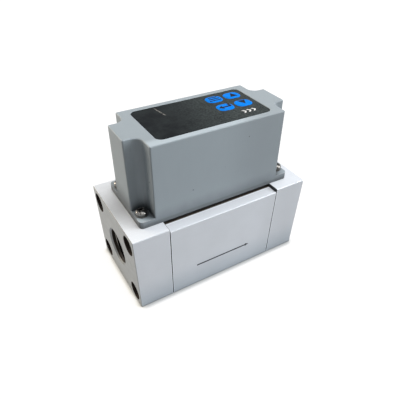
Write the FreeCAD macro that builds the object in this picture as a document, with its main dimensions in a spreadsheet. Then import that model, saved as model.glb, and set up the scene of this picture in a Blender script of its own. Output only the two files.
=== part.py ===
import FreeCAD, Part
import os

import Sketcher
from FreeCAD import Placement, Rotation, Vector

# Gas mass flow meter for a half-inch line. Three metal blocks carry the gas: an inlet block, a flow body
# and an outlet block, bolted end to end. A sensor hangs into the bore of the flow body, and the housing
# above it holds the electronics under a film window with four keys.
# The flow runs along +X, the front faces -Y, and z = 0 is the face that the meter stands on.

SIZES = (
    # Blocks
    ("end_length", 20.5, "length of an end block along the flow"),
    ("flow_length", 69.0, "length of the flow body"),
    ("block_width", 56.0, "width of all three blocks"),
    ("block_height", 50.0, "height of the end blocks"),
    ("flow_drop", 1.7, "how far the flow body's top lies below the end blocks"),
    ("block_bevel", 0.3, "bevel along the edges of the blocks"),
    # Gas path
    ("port_size", 20.96, "diameter over the port thread's roots"),
    ("port_mouth", 23.0, "diameter of the port's countersunk mouth"),
    ("port_depth", 14.0, "depth of the threaded port"),
    ("port_taper", 1.5, "length of the cone at the bottom of the port"),
    ("flow_bore", 15.0, "bore that carries the gas"),
    ("cone_length", 3.0, "length of the cone that widens the bore at a seam"),
    # Bolts that hold the blocks together
    ("bolt_offset_y", 20.6, "bolt axis from the bore axis, sideways"),
    ("bolt_offset_z", 17.75, "bolt axis from the bore axis, upwards"),
    ("bolt_size", 6.0, "bolt diameter"),
    ("bolt_head", 10.0, "bolt head diameter"),
    ("bolt_head_height", 6.0, "bolt head height"),
    ("bolt_socket", 5.0, "width of the hexagon socket across its flats"),
    ("bolt_socket_depth", 3.0, "depth of the hexagon socket"),
    ("bolt_sink", 11.0, "diameter of the counterbore for a bolt head"),
    ("bolt_sink_depth", 11.0, "depth of the counterbore"),
    ("bolt_play", 0.3, "clearance round a bolt in its block"),
    ("bolt_reach", 12.0, "length of bolt in the flow body"),
    ("tap_beyond", 2.0, "tapped depth beyond a screw's tip"),
    ("thread_play", 0.05, "clearance round a thread in its tapped hole"),
    # Face seals at the seams
    ("seal_circle", 30.0, "mean diameter of a seam's sealing ring"),
    ("seal_groove_width", 2.4, "width of its groove"),
    ("seal_groove_depth", 1.6, "depth of its groove"),
    ("seal_relief", 0.02, "clearance of a squeezed ring from its walls"),
    # Flow conditioner in the inlet end of the flow body
    ("stack_size", 24.0, "diameter of the recess for screens and straightener"),
    ("stack_play", 0.1, "clearance round the screens and straightener"),
    ("stack_shoulder", 1.5, "width of the shoulder that the stack rests on"),
    ("screen_thickness", 0.4, "thickness of a screen"),
    ("screen_pitch", 2.4, "spacing of a screen's openings"),
    ("screen_bar", 0.7, "width of the bars between them"),
    ("straightener_length", 10.0, "length of the flow straightener"),
    ("cell_pitch", 3.1, "spacing of the straightener's cells"),
    ("cell_wall", 0.4, "wall between two cells"),
    ("spacer_length", 4.0, "length of the ring behind the straightener"),
    ("spacer_wall", 1.4, "wall of that ring"),
    ("throat_length", 7.0, "length of the cone that narrows the bore behind the stack"),
    # Sensor
    ("flange_length", 26.0, "sensor flange along the flow"),
    ("flange_width", 18.0, "sensor flange across the flow"),
    ("flange_thickness", 3.0, "thickness of the sensor flange"),
    ("flange_play", 0.1, "clearance round the sensor flange"),
    ("well_size", 14.0, "diameter of the sensor's well"),
    ("stem_play", 0.1, "clearance round the sensor's stem"),
    ("stem_seal_wire", 1.6, "thickness of the ring round the stem"),
    ("stem_seal_groove", 2.0, "width of its groove"),
    ("stem_seal_depth", 7.0, "groove centre below the flange"),
    ("neck_length", 10.0, "sensor neck along the flow"),
    ("neck_width", 5.0, "sensor neck across the flow"),
    ("neck_play", 0.2, "clearance round the sensor neck"),
    ("neck_above", 1.0, "how far the neck stands above the base plate"),
    ("gasket_border", 1.8, "width of the gasket round the neck"),
    ("blade_length", 6.0, "sensor board along the flow"),
    ("blade_thickness", 1.0, "sensor board thickness"),
    ("blade_play", 0.1, "clearance round the sensor board"),
    ("blade_below_axis", 2.0, "how far the sensor board reaches below the bore axis"),
    ("chip_size", 2.4, "side of the sensor chip"),
    ("chip_thickness", 0.5, "thickness of the sensor chip"),
    ("flange_screw_offset", 10.2, "flange screws from the sensor axis"),
    ("small_screw", 3.0, "diameter of the small screws"),
    ("small_sunk_head", 5.5, "head diameter of a small countersunk screw"),
    ("small_sunk_height", 1.25, "head height of a small countersunk screw"),
    ("flange_screw_length", 9.0, "length of a flange screw"),
    # Housing
    ("base_length", 94.3, "housing along the flow, at its base"),
    ("base_width", 41.5, "housing across the flow, at its base"),
    ("tongue_length", 8.25, "length of the narrow ends of the housing, at their base"),
    ("tongue_width", 19.2, "width of the narrow ends of the housing, at their base"),
    ("housing_height", 43.0, "height of the housing"),
    ("housing_draft", 1.0, "draft angle of the housing's walls, in degrees"),
    ("housing_wall", 2.6, "wall of the housing"),
    ("housing_roof", 3.0, "thickness of the housing's top"),
    ("pad_height", 4.0, "thickness of the four corner pads"),
    ("pad_round", 2.2, "corner radius of the pads"),
    ("notch_round", 4.5, "radius in the corner of a notch"),
    ("edge_round", 0.7, "radius along the housing's upright edges"),
    ("rim_round", 0.6, "radius along the housing's upper edge"),
    ("pad_screw_inset_x", 3.7, "housing screws from the housing's ends"),
    ("pad_screw_inset_y", 6.2, "housing screws from the housing's sides"),
    ("pad_screw_length", 8.0, "length of a housing screw"),
    ("pad_screw_head", 6.0, "head diameter of a housing screw"),
    ("pad_screw_rise", 2.4, "head height of a housing screw"),
    ("pad_screw_play", 0.2, "clearance round a housing screw"),
    ("pad_tap_beyond", 0.3, "tapped depth beyond a housing screw's tip"),
    ("washer_size", 5.8, "diameter of a split washer under a housing screw"),
    ("washer_thickness", 0.9, "thickness of a split washer"),
    ("washer_split", 0.6, "gap in a split washer"),
    # Window and keys
    ("window_margin_x", 6.35, "window recess inside the housing's middle, along the flow"),
    ("window_margin_y", 4.2, "window recess inside the housing's base, across the flow"),
    ("window_x", 0.1, "window centre along the flow"),
    ("window_y", 0.1, "window centre across the flow"),
    ("window_round", 3.3, "corner radius of the window"),
    ("window_rim", 0.3, "radius along the window's rim"),
    ("window_recess", 0.8, "depth of the window recess"),
    ("film_thickness", 0.7, "thickness of the window film"),
    ("film_play", 0.15, "clearance round the window film"),
    ("key_length", 9.6, "key along the flow"),
    ("key_width", 7.5, "key across the flow"),
    ("key_round", 3.2, "corner radius of a key"),
    ("key_rise", 0.3, "height of a key above the film"),
    ("key_x", 19.2, "middle of the four keys along the flow"),
    ("key_y", 4.1, "middle of the four keys across the flow"),
    ("key_pitch_x", 11.35, "key spacing along the flow"),
    ("key_pitch_y", 10.95, "key spacing across the flow"),
    ("key_hole", 6.0, "hole in the roof below a key"),
    ("sight_x", -11.5, "display centre along the flow"),
    # Base plate
    ("plate_thickness", 2.0, "thickness of the base plate"),
    ("plate_play", 0.15, "clearance between base plate and housing"),
    ("boss_inset_x", 3.4, "housing bosses from the cavity's ends"),
    ("boss_inset_y", 3.0, "housing bosses from the cavity's sides"),
    ("boss_size", 5.6, "diameter of a housing boss"),
    ("plate_screw_length", 10.0, "length of a base plate screw"),
    # Circuit boards
    ("board_end_gap", 0.6, "circuit board from the bosses"),
    ("board_side_gap", 1.6, "circuit board from the foot of the housing's walls"),
    ("board_thickness", 1.6, "circuit board thickness"),
    ("post_inset_x", 2.8, "inlet side posts from the board's end"),
    ("post_inset_y", 2.2, "posts from the board's sides"),
    ("post_size", 4.4, "width of a hexagonal post across its flats"),
    ("post_stud", 2.4, "diameter of a post's stud"),
    ("post_stud_length", 4.0, "length of a post's stud"),
    ("stud_play", 0.1, "clearance round a stud in a board"),
    ("lower_post", 8.0, "height of a lower post"),
    ("board_screw_head", 4.2, "head diameter of a board screw"),
    ("board_screw_rise", 1.5, "head height of a board screw"),
    ("socket_length", 9.0, "sensor socket along the flow"),
    ("socket_width", 4.0, "sensor socket across the flow"),
    ("socket_height", 5.0, "sensor socket height"),
    ("socket_depth", 4.0, "how far the sensor board goes into its socket"),
    ("processor_size", 10.0, "side of the processor"),
    ("processor_thickness", 1.2, "thickness of the processor"),
    ("processor_x", -12.0, "processor centre along the flow"),
    ("header_length", 16.0, "header between the boards, along the flow"),
    ("header_width", 5.0, "header across the flow"),
    ("header_inset", 4.0, "header centre from the board's side"),
    ("capacitor_size", 8.0, "capacitor diameter"),
    ("capacitor_height", 12.0, "capacitor height"),
    ("capacitor_x", 22.0, "capacitor centre along the flow"),
    ("capacitor_y", -5.0, "capacitor centre across the flow"),
    # Display and switches
    ("glass_length", 33.0, "display glass along the flow"),
    ("glass_side_gap", 0.2, "display glass from the board screws"),
    ("glass_thickness", 2.5, "display glass thickness"),
    ("glass_gap", 0.3, "display glass below the roof"),
    ("glass_lap_x", 1.5, "roof over the ends of the display glass"),
    ("glass_lap_y", 0.9, "roof over the sides of the display glass"),
    ("frame_height", 2.0, "height of the frame under the display glass"),
    ("switch_size", 5.0, "side of a key switch"),
    ("switch_height", 3.2, "height of a key switch without its plunger"),
    ("plunger_size", 3.4, "plunger diameter"),
    ("plunger_gap", 0.2, "plunger below the film"),
    # Connector in the back wall
    ("plug_height", 22.0, "connector axis above the housing's base"),
    ("plug_flange", 17.0, "diameter of the connector's flange"),
    ("plug_flange_thickness", 2.0, "thickness of the connector's flange"),
    ("plug_barrel", 12.0, "diameter of the connector's barrel"),
    ("plug_bore", 9.6, "bore of the connector's barrel"),
    ("plug_front", 4.5, "barrel in front of the flange"),
    ("plug_rear", 9.0, "barrel behind the flange"),
    ("plug_play", 0.15, "clearance round the barrel in the wall"),
    ("plug_land", 19.0, "diameter of the flat land round the connector"),
    ("plug_land_rise", 0.2, "land in front of the housing's base"),
    ("plug_seal_thickness", 0.5, "connector seal thickness"),
    ("plug_seal_width", 1.8, "connector seal width"),
    ("insert_recess", 4.6, "insert below the barrel's end"),
    ("insert_tail", 1.0, "insert behind the barrel"),
    ("pin_size", 1.0, "contact pin diameter"),
    ("pin_circle", 5.2, "circle of the contact pins"),
    ("pin_rise", 3.6, "contact pin in front of the insert"),
    ("nut_width", 15.0, "connector nut across its flats"),
    ("nut_thickness", 2.4, "connector nut thickness"),
    ("nut_gap", 0.2, "connector nut from the slanted wall"),
    ("lead_size", 1.8, "diameter of the lead to the main board"),
    ("lead_bend", 3.6, "bend radius of the lead"),
    ("lead_run", 5.0, "straight start of the lead"),
    ("lead_plug_length", 8.0, "lead plug along the flow"),
    ("lead_plug_width", 4.0, "lead plug across the flow"),
    ("lead_plug_height", 4.0, "lead plug height"),
)

CELL_RINGS = 3
SCREEN_RINGS = 4
PIN_COUNT = 5
# Shape of a pan head: the upright part of its edge and the flat on its top, as shares of rise and diameter
PAN_EDGE = 0.55
PAN_FLAT = 0.72
# How near two points lie to count as one place, and a corner's drafted or rounded edges to its sharp corner
SAME = 1e-4
CORNER_REACH = 0.9

doc = FreeCAD.newDocument("gas_flow_meter")
dims = doc.addObject("Spreadsheet::Sheet", "dims")
for row, (name, value, meaning) in enumerate(SIZES, start=1):
    dims.set(f"A{row}", meaning)
    dims.set(f"B{row}", str(value))
    dims.setAlias(f"B{row}", name)
doc.recompute()

# Places that several pieces share, as expressions on the sheet

SEAM = "(dims.flow_length / 2)"
BORE_AXIS = "(dims.block_height / 2)"
FLOW_TOP = "(dims.block_height - dims.flow_drop)"
BOLT_SEAT = "(dims.end_length - dims.bolt_sink_depth)"
STACK_LENGTH = "(2 * dims.screen_thickness + dims.straightener_length + dims.spacer_length)"
STACK_DISC = "(dims.stack_size - 2 * dims.stack_play)"
STACK_OPENING = "(dims.stack_size - 2 * dims.stack_shoulder)"
STEM_SIZE = "(dims.well_size - 2 * dims.stem_play)"
FLANGE_SEAT = f"({FLOW_TOP} - dims.flange_thickness)"
MIDDLE_LENGTH = "(dims.base_length - 2 * dims.tongue_length)"
PAD_SCREW_X = "(dims.base_length / 2 - dims.pad_screw_inset_x)"
PAD_SCREW_Y = "(dims.base_width / 2 - dims.pad_screw_inset_y)"
PAD_TAP_DEPTH = "dims.pad_screw_length - dims.pad_height - dims.washer_thickness + dims.pad_tap_beyond"
WINDOW_LENGTH = f"({MIDDLE_LENGTH} - 2 * dims.window_margin_x)"
WINDOW_WIDTH = "(dims.base_width - 2 * dims.window_margin_y)"
BOSS_X = f"({MIDDLE_LENGTH} / 2 - dims.housing_wall - dims.boss_inset_x)"
BOSS_Y = "(dims.base_width / 2 - dims.housing_wall - dims.boss_inset_y)"
BOARD_LENGTH = f"(2 * {BOSS_X} - dims.boss_size - 2 * dims.board_end_gap)"
BOARD_WIDTH = "(dims.base_width - 2 * dims.housing_wall - 2 * dims.board_side_gap)"
POST_LEFT = f"(dims.post_inset_x - {BOARD_LENGTH} / 2)"
POST_RIGHT = "dims.key_x"
POST_Y = f"({BOARD_WIDTH} / 2 - dims.post_inset_y)"
GLASS_WIDTH = f"(2 * ({POST_Y} - dims.board_screw_head / 2 - dims.glass_side_gap - dims.window_y))"
PLATE_TOP = "(dims.block_height + dims.plate_thickness)"
MAIN_BOARD = f"({PLATE_TOP} + dims.lower_post)"
MAIN_BOARD_TOP = f"({MAIN_BOARD} + dims.board_thickness)"
ROOF_UNDERSIDE = "(dims.block_height + dims.housing_height - dims.housing_roof)"
FILM_SEAT = "(dims.block_height + dims.housing_height - dims.window_recess)"
GLASS_SEAT = f"({ROOF_UNDERSIDE} - dims.glass_gap - dims.glass_thickness)"
DISPLAY_BOARD_TOP = f"({GLASS_SEAT} - dims.frame_height)"
DISPLAY_BOARD = f"({DISPLAY_BOARD_TOP} - dims.board_thickness)"
LAND_FACE = "(dims.base_width / 2 + dims.plug_land_rise)"
PLUG_AXIS = "(dims.block_height + dims.plug_height)"
BLADE_TOP = f"({MAIN_BOARD} - dims.socket_height + dims.socket_depth)"

subparts = []


def number(expression):
    """Value of an expression on the sheet's names."""
    return float(dims.evalExpression(expression))


def place(piece, x="0", y="0", z="0"):
    """Tie the place of a piece to the sheet and keep it as a sub-part."""
    for axis, distance in zip("xyz", (x, y, z)):
        piece.setExpression(f"Placement.Base.{axis}", distance)
    subparts.append(piece)


def new_body(label, x="0", y="0", z="0", turn=None):
    """Start a body at a place tied to the sheet, turned as a whole if asked."""
    body = doc.addObject("PartDesign::Body", label)
    body.Label = label
    if turn:
        body.Placement = Placement(Vector(), turn)
    place(body, x, y, z)
    return body


def origin_feature(body, role):
    """One of the body's own planes or axes."""
    return next(item for item in body.Origin.OriginFeatures if item.Role == role)


def new_sketch(body, plane, rise="0"):
    """A sketch on an origin plane of the body, lifted along the plane's normal."""
    sketch = body.newObject("Sketcher::SketchObject", f"{body.Label}_sketch")
    sketch.AttachmentSupport = [(origin_feature(body, plane), "")]
    sketch.MapMode = "FlatFace"
    sketch.setExpression("AttachmentOffset.Base.z", rise)
    return sketch


def tie(sketch, kind, elements, expression):
    """Add a dimension to a sketch and bind it to the sheet."""
    index = sketch.addConstraint(Sketcher.Constraint(kind, *elements, number(expression)))
    sketch.setExpression(f"Constraints[{index}]", expression)


def polygon(sketch, corners):
    """Closed straight outline whose corners are pairs of expressions."""
    points = [Vector(number(across), number(up), 0) for across, up in corners]
    first = sketch.GeometryCount
    count = len(points)
    for index, point in enumerate(points):
        sketch.addGeometry(Part.LineSegment(point, points[(index + 1) % count]), False)
    for index in range(count):
        following = first + (index + 1) % count
        sketch.addConstraint(Sketcher.Constraint("Coincident", first + index, 2, following, 1))
    for index, (across, up) in enumerate(corners):
        tie(sketch, "DistanceX", (-1, 1, first + index, 1), across)
        tie(sketch, "DistanceY", (-1, 1, first + index, 1), up)


def rectangle(sketch, length, width, x="0", y="0"):
    """Rectangle about a centre."""
    left, right = f"{x} - {length} / 2", f"{x} + {length} / 2"
    low, high = f"{y} - {width} / 2", f"{y} + {width} / 2"
    polygon(sketch, [(left, low), (right, low), (right, high), (left, high)])


def rounded_rectangle(sketch, length, width, radius, x="0", y="0"):
    """Rectangle about a centre, with an arc in each corner."""
    turn = number("pi")
    reach_x, reach_y = f"({length} / 2 - {radius})", f"({width} / 2 - {radius})"
    corners = ((1, 1), (-1, 1), (-1, -1), (1, -1))
    size = number(radius)
    arcs = []
    for quarter, (side, row) in enumerate(corners):
        spot = (f"{x} + {side} * {reach_x}", f"{y} + {row} * {reach_y}")
        centre = Vector(number(spot[0]), number(spot[1]), 0)
        start = quarter * turn / 2
        ring = Part.Circle(centre, Vector(0, 0, 1), size)
        arcs.append(sketch.addGeometry(Part.ArcOfCircle(ring, start, start + turn / 2), False))
        tie(sketch, "DistanceX", (-1, 1, arcs[-1], 3), spot[0])
        tie(sketch, "DistanceY", (-1, 1, arcs[-1], 3), spot[1])
    for quarter, first in enumerate(arcs):
        second = arcs[(quarter + 1) % len(arcs)]
        ends = sketch.Geometry[first].EndPoint, sketch.Geometry[second].StartPoint
        line = sketch.addGeometry(Part.LineSegment(*ends), False)
        sketch.addConstraint(Sketcher.Constraint("Tangent", first, 2, line, 1))
        sketch.addConstraint(Sketcher.Constraint("Tangent", line, 2, second, 1))
        if quarter < len(arcs) - 1:
            level = "Vertical" if quarter % 2 else "Horizontal"
            sketch.addConstraint(Sketcher.Constraint(level, line))
    tie(sketch, "Radius", (arcs[0],), radius)


def circle(sketch, diameter, x="0", y="0"):
    """Circle about a centre."""
    centre = Vector(number(x), number(y), 0)
    index = sketch.addGeometry(Part.Circle(centre, Vector(0, 0, 1), number(diameter) / 2), False)
    tie(sketch, "DistanceX", (-1, 1, index, 3), x)
    tie(sketch, "DistanceY", (-1, 1, index, 3), y)
    tie(sketch, "Diameter", (index,), diameter)


def hexagon(sketch, flats, x="0", y="0"):
    """Hexagon about a centre, by its width across flats, with a corner along the sketch's X axis."""
    reach = f"{flats} / sqrt(3)"
    corners = []
    for across, up in ((1, 0), (0.5, 0.5), (-0.5, 0.5), (-1, 0), (-0.5, -0.5), (0.5, -0.5)):
        corners.append((f"{x} + {across} * {reach}", f"{y} + {up} * {flats}"))
    polygon(sketch, corners)


def pad(body, sketch, length, reverse=False, midplane=False):
    """Add the sketch's area, carried along its normal."""
    feature = body.newObject("PartDesign::Pad", f"{body.Label}_pad")
    feature.Profile = sketch
    feature.setExpression("Length", length)
    feature.Reversed = reverse
    feature.Midplane = midplane
    doc.recompute()
    return feature


def lessened(body, feature, before):
    """Stop if a cut has taken nothing away."""
    doc.recompute()
    if body.Shape.Volume > before - SAME:
        raise ValueError(f"{feature.Label} cuts nothing")
    return feature


def pocket(body, sketch, length=None, taper=None, reverse=False, midplane=False):
    """Cut the sketch's area away, through the whole piece where no length is given."""
    before = body.Shape.Volume
    feature = body.newObject("PartDesign::Pocket", f"{body.Label}_pocket")
    feature.Profile = sketch
    feature.Reversed = reverse
    feature.Midplane = midplane
    if length is None:
        feature.Type = "ThroughAll"
    else:
        feature.setExpression("Length", length)
    if taper:
        feature.setExpression("TaperAngle", taper)
    return lessened(body, feature, before)


def groove(body, sketch):
    """Cut the sketch's area away, turned about the sketch's horizontal axis."""
    before = body.Shape.Volume
    feature = body.newObject("PartDesign::Groove", f"{body.Label}_groove")
    feature.Profile = sketch
    feature.ReferenceAxis = (sketch, ["H_Axis"])
    feature.Angle = 360
    return lessened(body, feature, before)


def revolve(body, sketch):
    """Add the sketch's area, turned about the sketch's vertical axis."""
    feature = body.newObject("PartDesign::Revolution", f"{body.Label}_turn")
    feature.Profile = sketch
    feature.ReferenceAxis = (sketch, ["V_Axis"])
    feature.Angle = 360
    doc.recompute()
    return feature


def grid(body, originals, first, second=None):
    """Repeat features once along one or two of the body's axes, given as (axis, span) pairs."""
    pattern = body.newObject("PartDesign::LinearPattern", f"{body.Label}_grid")
    pattern.Originals = originals
    pattern.Direction = (origin_feature(body, first[0]), [""])
    pattern.setExpression("Length", first[1])
    pattern.Occurrences = 2
    if second:
        pattern.Direction2 = (origin_feature(body, second[0]), [""])
        pattern.setExpression("Length2", second[1])
        pattern.Occurrences2 = 2
    body.Tip = pattern
    doc.recompute()
    return pattern


def ring_of(body, originals, axis, count):
    """Repeat features round one of the body's axes."""
    pattern = body.newObject("PartDesign::PolarPattern", f"{body.Label}_ring")
    pattern.Originals = originals
    pattern.Axis = (origin_feature(body, axis), [""])
    pattern.Angle = 360
    pattern.Occurrences = count
    body.Tip = pattern
    doc.recompute()
    return pattern


def edges_where(body, wanted):
    """Names of the body's edges that pass a test."""
    edges = body.Tip.Shape.Edges
    return [f"Edge{index}" for index, edge in enumerate(edges, start=1) if wanted(edge)]


def fillet(body, radius, wanted):
    """Round the edges that pass a test."""
    base = (body.Tip, edges_where(body, wanted))
    feature = body.newObject("PartDesign::Fillet", f"{body.Label}_round")
    feature.Base = base
    feature.setExpression("Radius", radius)
    doc.recompute()
    return feature


def chamfer(body, size, wanted):
    """Bevel the edges that pass a test."""
    base = (body.Tip, edges_where(body, wanted))
    feature = body.newObject("PartDesign::Chamfer", f"{body.Label}_bevel")
    feature.Base = base
    feature.setExpression("Size", size)
    doc.recompute()
    return feature


def draft(body, angle, wanted, reverse=False):
    """Lean the faces that pass a test inwards as they rise from the body's own base plane."""
    faces = body.Tip.Shape.Faces
    names = [f"Face{index}" for index, face in enumerate(faces, start=1) if wanted(face)]
    base = (body.Tip, names)
    feature = body.newObject("PartDesign::Draft", f"{body.Label}_draft")
    feature.Base = base
    feature.NeutralPlane = (origin_feature(body, "XY_Plane"), [""])
    feature.Reversed = reverse
    feature.setExpression("Angle", angle)
    doc.recompute()
    return feature


def on_box_edge(body):
    """Test for the straight edges along the body's own outer box."""
    box = body.Tip.Shape.BoundBox
    sides = ((box.XMin, box.XMax), (box.YMin, box.YMax), (box.ZMin, box.ZMax))

    def wanted(edge):
        first, last = edge.firstVertex().Point, edge.lastVertex().Point
        shared = 0
        for axis, limits in enumerate(sides):
            for limit in limits:
                shared += abs(first[axis] - limit) < SAME and abs(last[axis] - limit) < SAME
        return shared >= 2

    return wanted


def is_upright(edge):
    """Whether an edge is straight and climbs by more than half its length."""
    climb = abs(edge.lastVertex().Point.z - edge.firstVertex().Point.z)
    return edge.Curve.TypeId == "Part::GeomLine" and climb > edge.Length / 2


def box_piece(label, length, width, height, x="0", y="0", z="0"):
    """Plain block that stands on a level, centred over a point."""
    piece = doc.addObject("Part::Box", label)
    piece.Label = label
    piece.setExpression("Length", length)
    piece.setExpression("Width", width)
    piece.setExpression("Height", height)
    place(piece, f"{x} - {length} / 2", f"{y} - {width} / 2", z)
    return piece


# Blocks that carry the gas


def end_block(label, side, inner_opening):
    """End block, drawn from its inner face outwards along +X, and turned round for the inlet."""
    turn = Rotation(Vector(0, 0, 1), 0 if side > 0 else 180)
    body = new_body(label, f"{side} * {SEAM}", "0", BORE_AXIS, turn)
    outline = new_sketch(body, "YZ_Plane")
    rectangle(outline, "dims.block_width", "dims.block_height")
    pad(body, outline, "dims.end_length")

    bore = new_sketch(body, "XZ_Plane")
    mouth = "(dims.end_length - (dims.port_mouth - dims.port_size) / 2)"
    floor = "(dims.end_length - dims.port_depth)"
    polygon(bore, [
        ("0", "0"),
        ("0", f"{inner_opening} / 2"),
        ("dims.cone_length", "dims.flow_bore / 2"),
        (f"{floor} - dims.port_taper", "dims.flow_bore / 2"),
        (floor, "dims.port_size / 2"),
        (mouth, "dims.port_size / 2"),
        ("dims.end_length", "dims.port_mouth / 2"),
        ("dims.end_length", "0"),
    ])
    groove(body, bore)

    seal = new_sketch(body, "YZ_Plane")
    circle(seal, "dims.seal_circle - dims.seal_groove_width")
    circle(seal, "dims.seal_circle + dims.seal_groove_width")
    pocket(body, seal, "dims.seal_groove_depth", reverse=True)

    clearance = new_sketch(body, "YZ_Plane")
    circle(clearance, "dims.bolt_size + 2 * dims.bolt_play", "-dims.bolt_offset_y", "-dims.bolt_offset_z")
    holes = pocket(body, clearance, reverse=True)
    sink = new_sketch(body, "YZ_Plane", BOLT_SEAT)
    circle(sink, "dims.bolt_sink", "-dims.bolt_offset_y", "-dims.bolt_offset_z")
    sinks = pocket(body, sink, "dims.bolt_sink_depth", reverse=True)
    spans = ("Y_Axis", "2 * dims.bolt_offset_y"), ("Z_Axis", "2 * dims.bolt_offset_z")
    grid(body, [holes, sinks], *spans)

    tapped = new_sketch(body, "XY_Plane", "dims.block_height / 2")
    for row in (-1, 1):
        circle(tapped, "dims.small_screw + 2 * dims.thread_play", f"{PAD_SCREW_X} - {SEAM}",
               f"{row} * {PAD_SCREW_Y}")
    pocket(body, tapped, PAD_TAP_DEPTH)
    chamfer(body, "dims.block_bevel", on_box_edge(body))
    return body


def flow_body():
    """Middle block with the conditioner's recess, the throat, the sensor's well and the tapped holes."""
    body = new_body("flow_body", "0", "0", BORE_AXIS)
    top = "(dims.block_height / 2 - dims.flow_drop)"
    outline = new_sketch(body, "YZ_Plane")
    polygon(outline, [
        ("-dims.block_width / 2", "-dims.block_height / 2"),
        ("dims.block_width / 2", "-dims.block_height / 2"),
        ("dims.block_width / 2", top),
        ("-dims.block_width / 2", top),
    ])
    pad(body, outline, "dims.flow_length", midplane=True)

    bore = new_sketch(body, "XZ_Plane")
    shoulder = f"({STACK_LENGTH} - {SEAM})"
    polygon(bore, [
        (f"-{SEAM}", "0"),
        (f"-{SEAM}", "dims.stack_size / 2"),
        (shoulder, "dims.stack_size / 2"),
        (shoulder, f"{STACK_OPENING} / 2"),
        (f"{shoulder} + dims.throat_length", "dims.flow_bore / 2"),
        (SEAM, "dims.flow_bore / 2"),
        (SEAM, "0"),
    ])
    groove(body, bore)

    seat = new_sketch(body, "XY_Plane", top)
    rectangle(seat, "dims.flange_length", "dims.flange_width")
    pocket(body, seat, "dims.flange_thickness")
    well = new_sketch(body, "XY_Plane", top)
    circle(well, "dims.well_size")
    pocket(body, well, top)
    tapped = new_sketch(body, "XY_Plane", top)
    for side in (-1, 1):
        circle(tapped, "dims.small_screw + 2 * dims.thread_play", f"{side} * dims.flange_screw_offset")
    pocket(body, tapped, "dims.flange_screw_length + dims.tap_beyond")

    for side in (-1, 1):
        drill = new_sketch(body, "YZ_Plane", f"{side} * {SEAM}")
        circle(drill, "dims.bolt_size + 2 * dims.thread_play", "-dims.bolt_offset_y", "-dims.bolt_offset_z")
        hole = pocket(body, drill, "dims.bolt_reach + dims.tap_beyond", reverse=side < 0)
        grid(body, [hole], ("Y_Axis", "2 * dims.bolt_offset_y"), ("Z_Axis", "2 * dims.bolt_offset_z"))
    chamfer(body, "dims.block_bevel", on_box_edge(body))
    return body


def seam_seal(label, side):
    """Squeezed sealing ring in an end block's groove, against the flow body."""
    ring = doc.addObject("Part::Torus", label)
    ring.Label = label
    ring.Placement = Placement(Vector(), Rotation(Vector(0, 1, 0), 90))
    ring.setExpression("Radius1", "dims.seal_circle / 2")
    ring.setExpression("Radius2", "dims.seal_groove_depth / 2 - dims.seal_relief")
    place(ring, f"{side} * ({SEAM} + dims.seal_groove_depth / 2)", "0", BORE_AXIS)
    return ring


# Fasteners, each a group that shares one drawing


def fasteners(label, profile, spans, x, y, z, turn=None, socket=None):
    """Turned fasteners along +Z, repeated over one or two spans, with a hexagon socket if asked."""
    body = new_body(label, x, y, z, turn)
    outline = new_sketch(body, "XZ_Plane")
    polygon(outline, profile)
    features = [revolve(body, outline)]
    if socket:
        flats, level, depth = socket
        key = new_sketch(body, "XY_Plane", level)
        hexagon(key, flats)
        features.append(pocket(body, key, depth))
    grid(body, features, *spans)
    return body


def end_bolts(label, side):
    """Four cap screws from an end block's counterbores into the flow body."""
    length = f"({BOLT_SEAT} + dims.bolt_reach)"
    profile = [
        ("0", f"-{length}"),
        ("dims.bolt_size / 2", f"-{length}"),
        ("dims.bolt_size / 2", "0"),
        ("dims.bolt_head / 2", "0"),
        ("dims.bolt_head / 2", "dims.bolt_head_height"),
        ("0", "dims.bolt_head_height"),
    ]
    spans = ("X_Axis", "2 * dims.bolt_offset_z"), ("Y_Axis", "2 * dims.bolt_offset_y")
    corner = f"{BORE_AXIS} + {side} * dims.bolt_offset_z"
    seat = f"{side} * ({SEAM} + {BOLT_SEAT})"
    turn = Rotation(Vector(0, 1, 0), side * 90)
    socket = ("dims.bolt_socket", "dims.bolt_head_height", "dims.bolt_socket_depth")
    return fasteners(label, profile, spans, seat, "-dims.bolt_offset_y", corner, turn, socket)


def pan_profile(shank, head, rise, length):
    """Half section of a pan head screw, seated at z = 0."""
    return [
        ("0", f"-{length}"),
        (f"{shank} / 2", f"-{length}"),
        (f"{shank} / 2", "0"),
        (f"{head} / 2", "0"),
        (f"{head} / 2", f"{rise} * {PAN_EDGE}"),
        (f"{head} / 2 * {PAN_FLAT}", rise),
        ("0", rise),
    ]


def sunk_profile(length):
    """Half section of a small countersunk screw whose head is flush with z = 0."""
    return [
        ("0", f"-{length}"),
        ("dims.small_screw / 2", f"-{length}"),
        ("dims.small_screw / 2", "-dims.small_sunk_height"),
        ("dims.small_sunk_head / 2", "0"),
        ("0", "0"),
    ]


def sink_holes(body, level, below, spots):
    """Countersunk clearance holes from a level down, or up where below is negative."""
    for x, y in spots:
        cone = new_sketch(body, "XY_Plane", level)
        circle(cone, "dims.small_sunk_head + 2 * dims.thread_play", x, y)
        pocket(body, cone, "dims.small_sunk_height + dims.thread_play", "-45", reverse=below < 0)
        through = new_sketch(body, "XY_Plane", level)
        circle(through, "dims.small_screw + 2 * dims.pad_screw_play", x, y)
        pocket(body, through, reverse=below < 0)


# Flow conditioner


def cell_grid(body, pitch, wall, rings):
    """Cut a honeycomb: a middle cell and one sixth of each ring round it, repeated six times."""
    middle = new_sketch(body, "XY_Plane")
    hexagon(middle, f"({pitch} - {wall})")
    pocket(body, middle, reverse=True)
    sixth = new_sketch(body, "XY_Plane")
    for ring in range(1, rings + 1):
        for step in range(ring):
            across = f"{pitch} * {ring - step / 2 - ring / 2} * sqrt(3)"
            up = f"{pitch} * {ring / 2 + step / 2}"
            hexagon(sixth, f"({pitch} - {wall})", across, up)
    cells = pocket(body, sixth, reverse=True)
    ring_of(body, [cells], "Z_Axis", 6)


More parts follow.
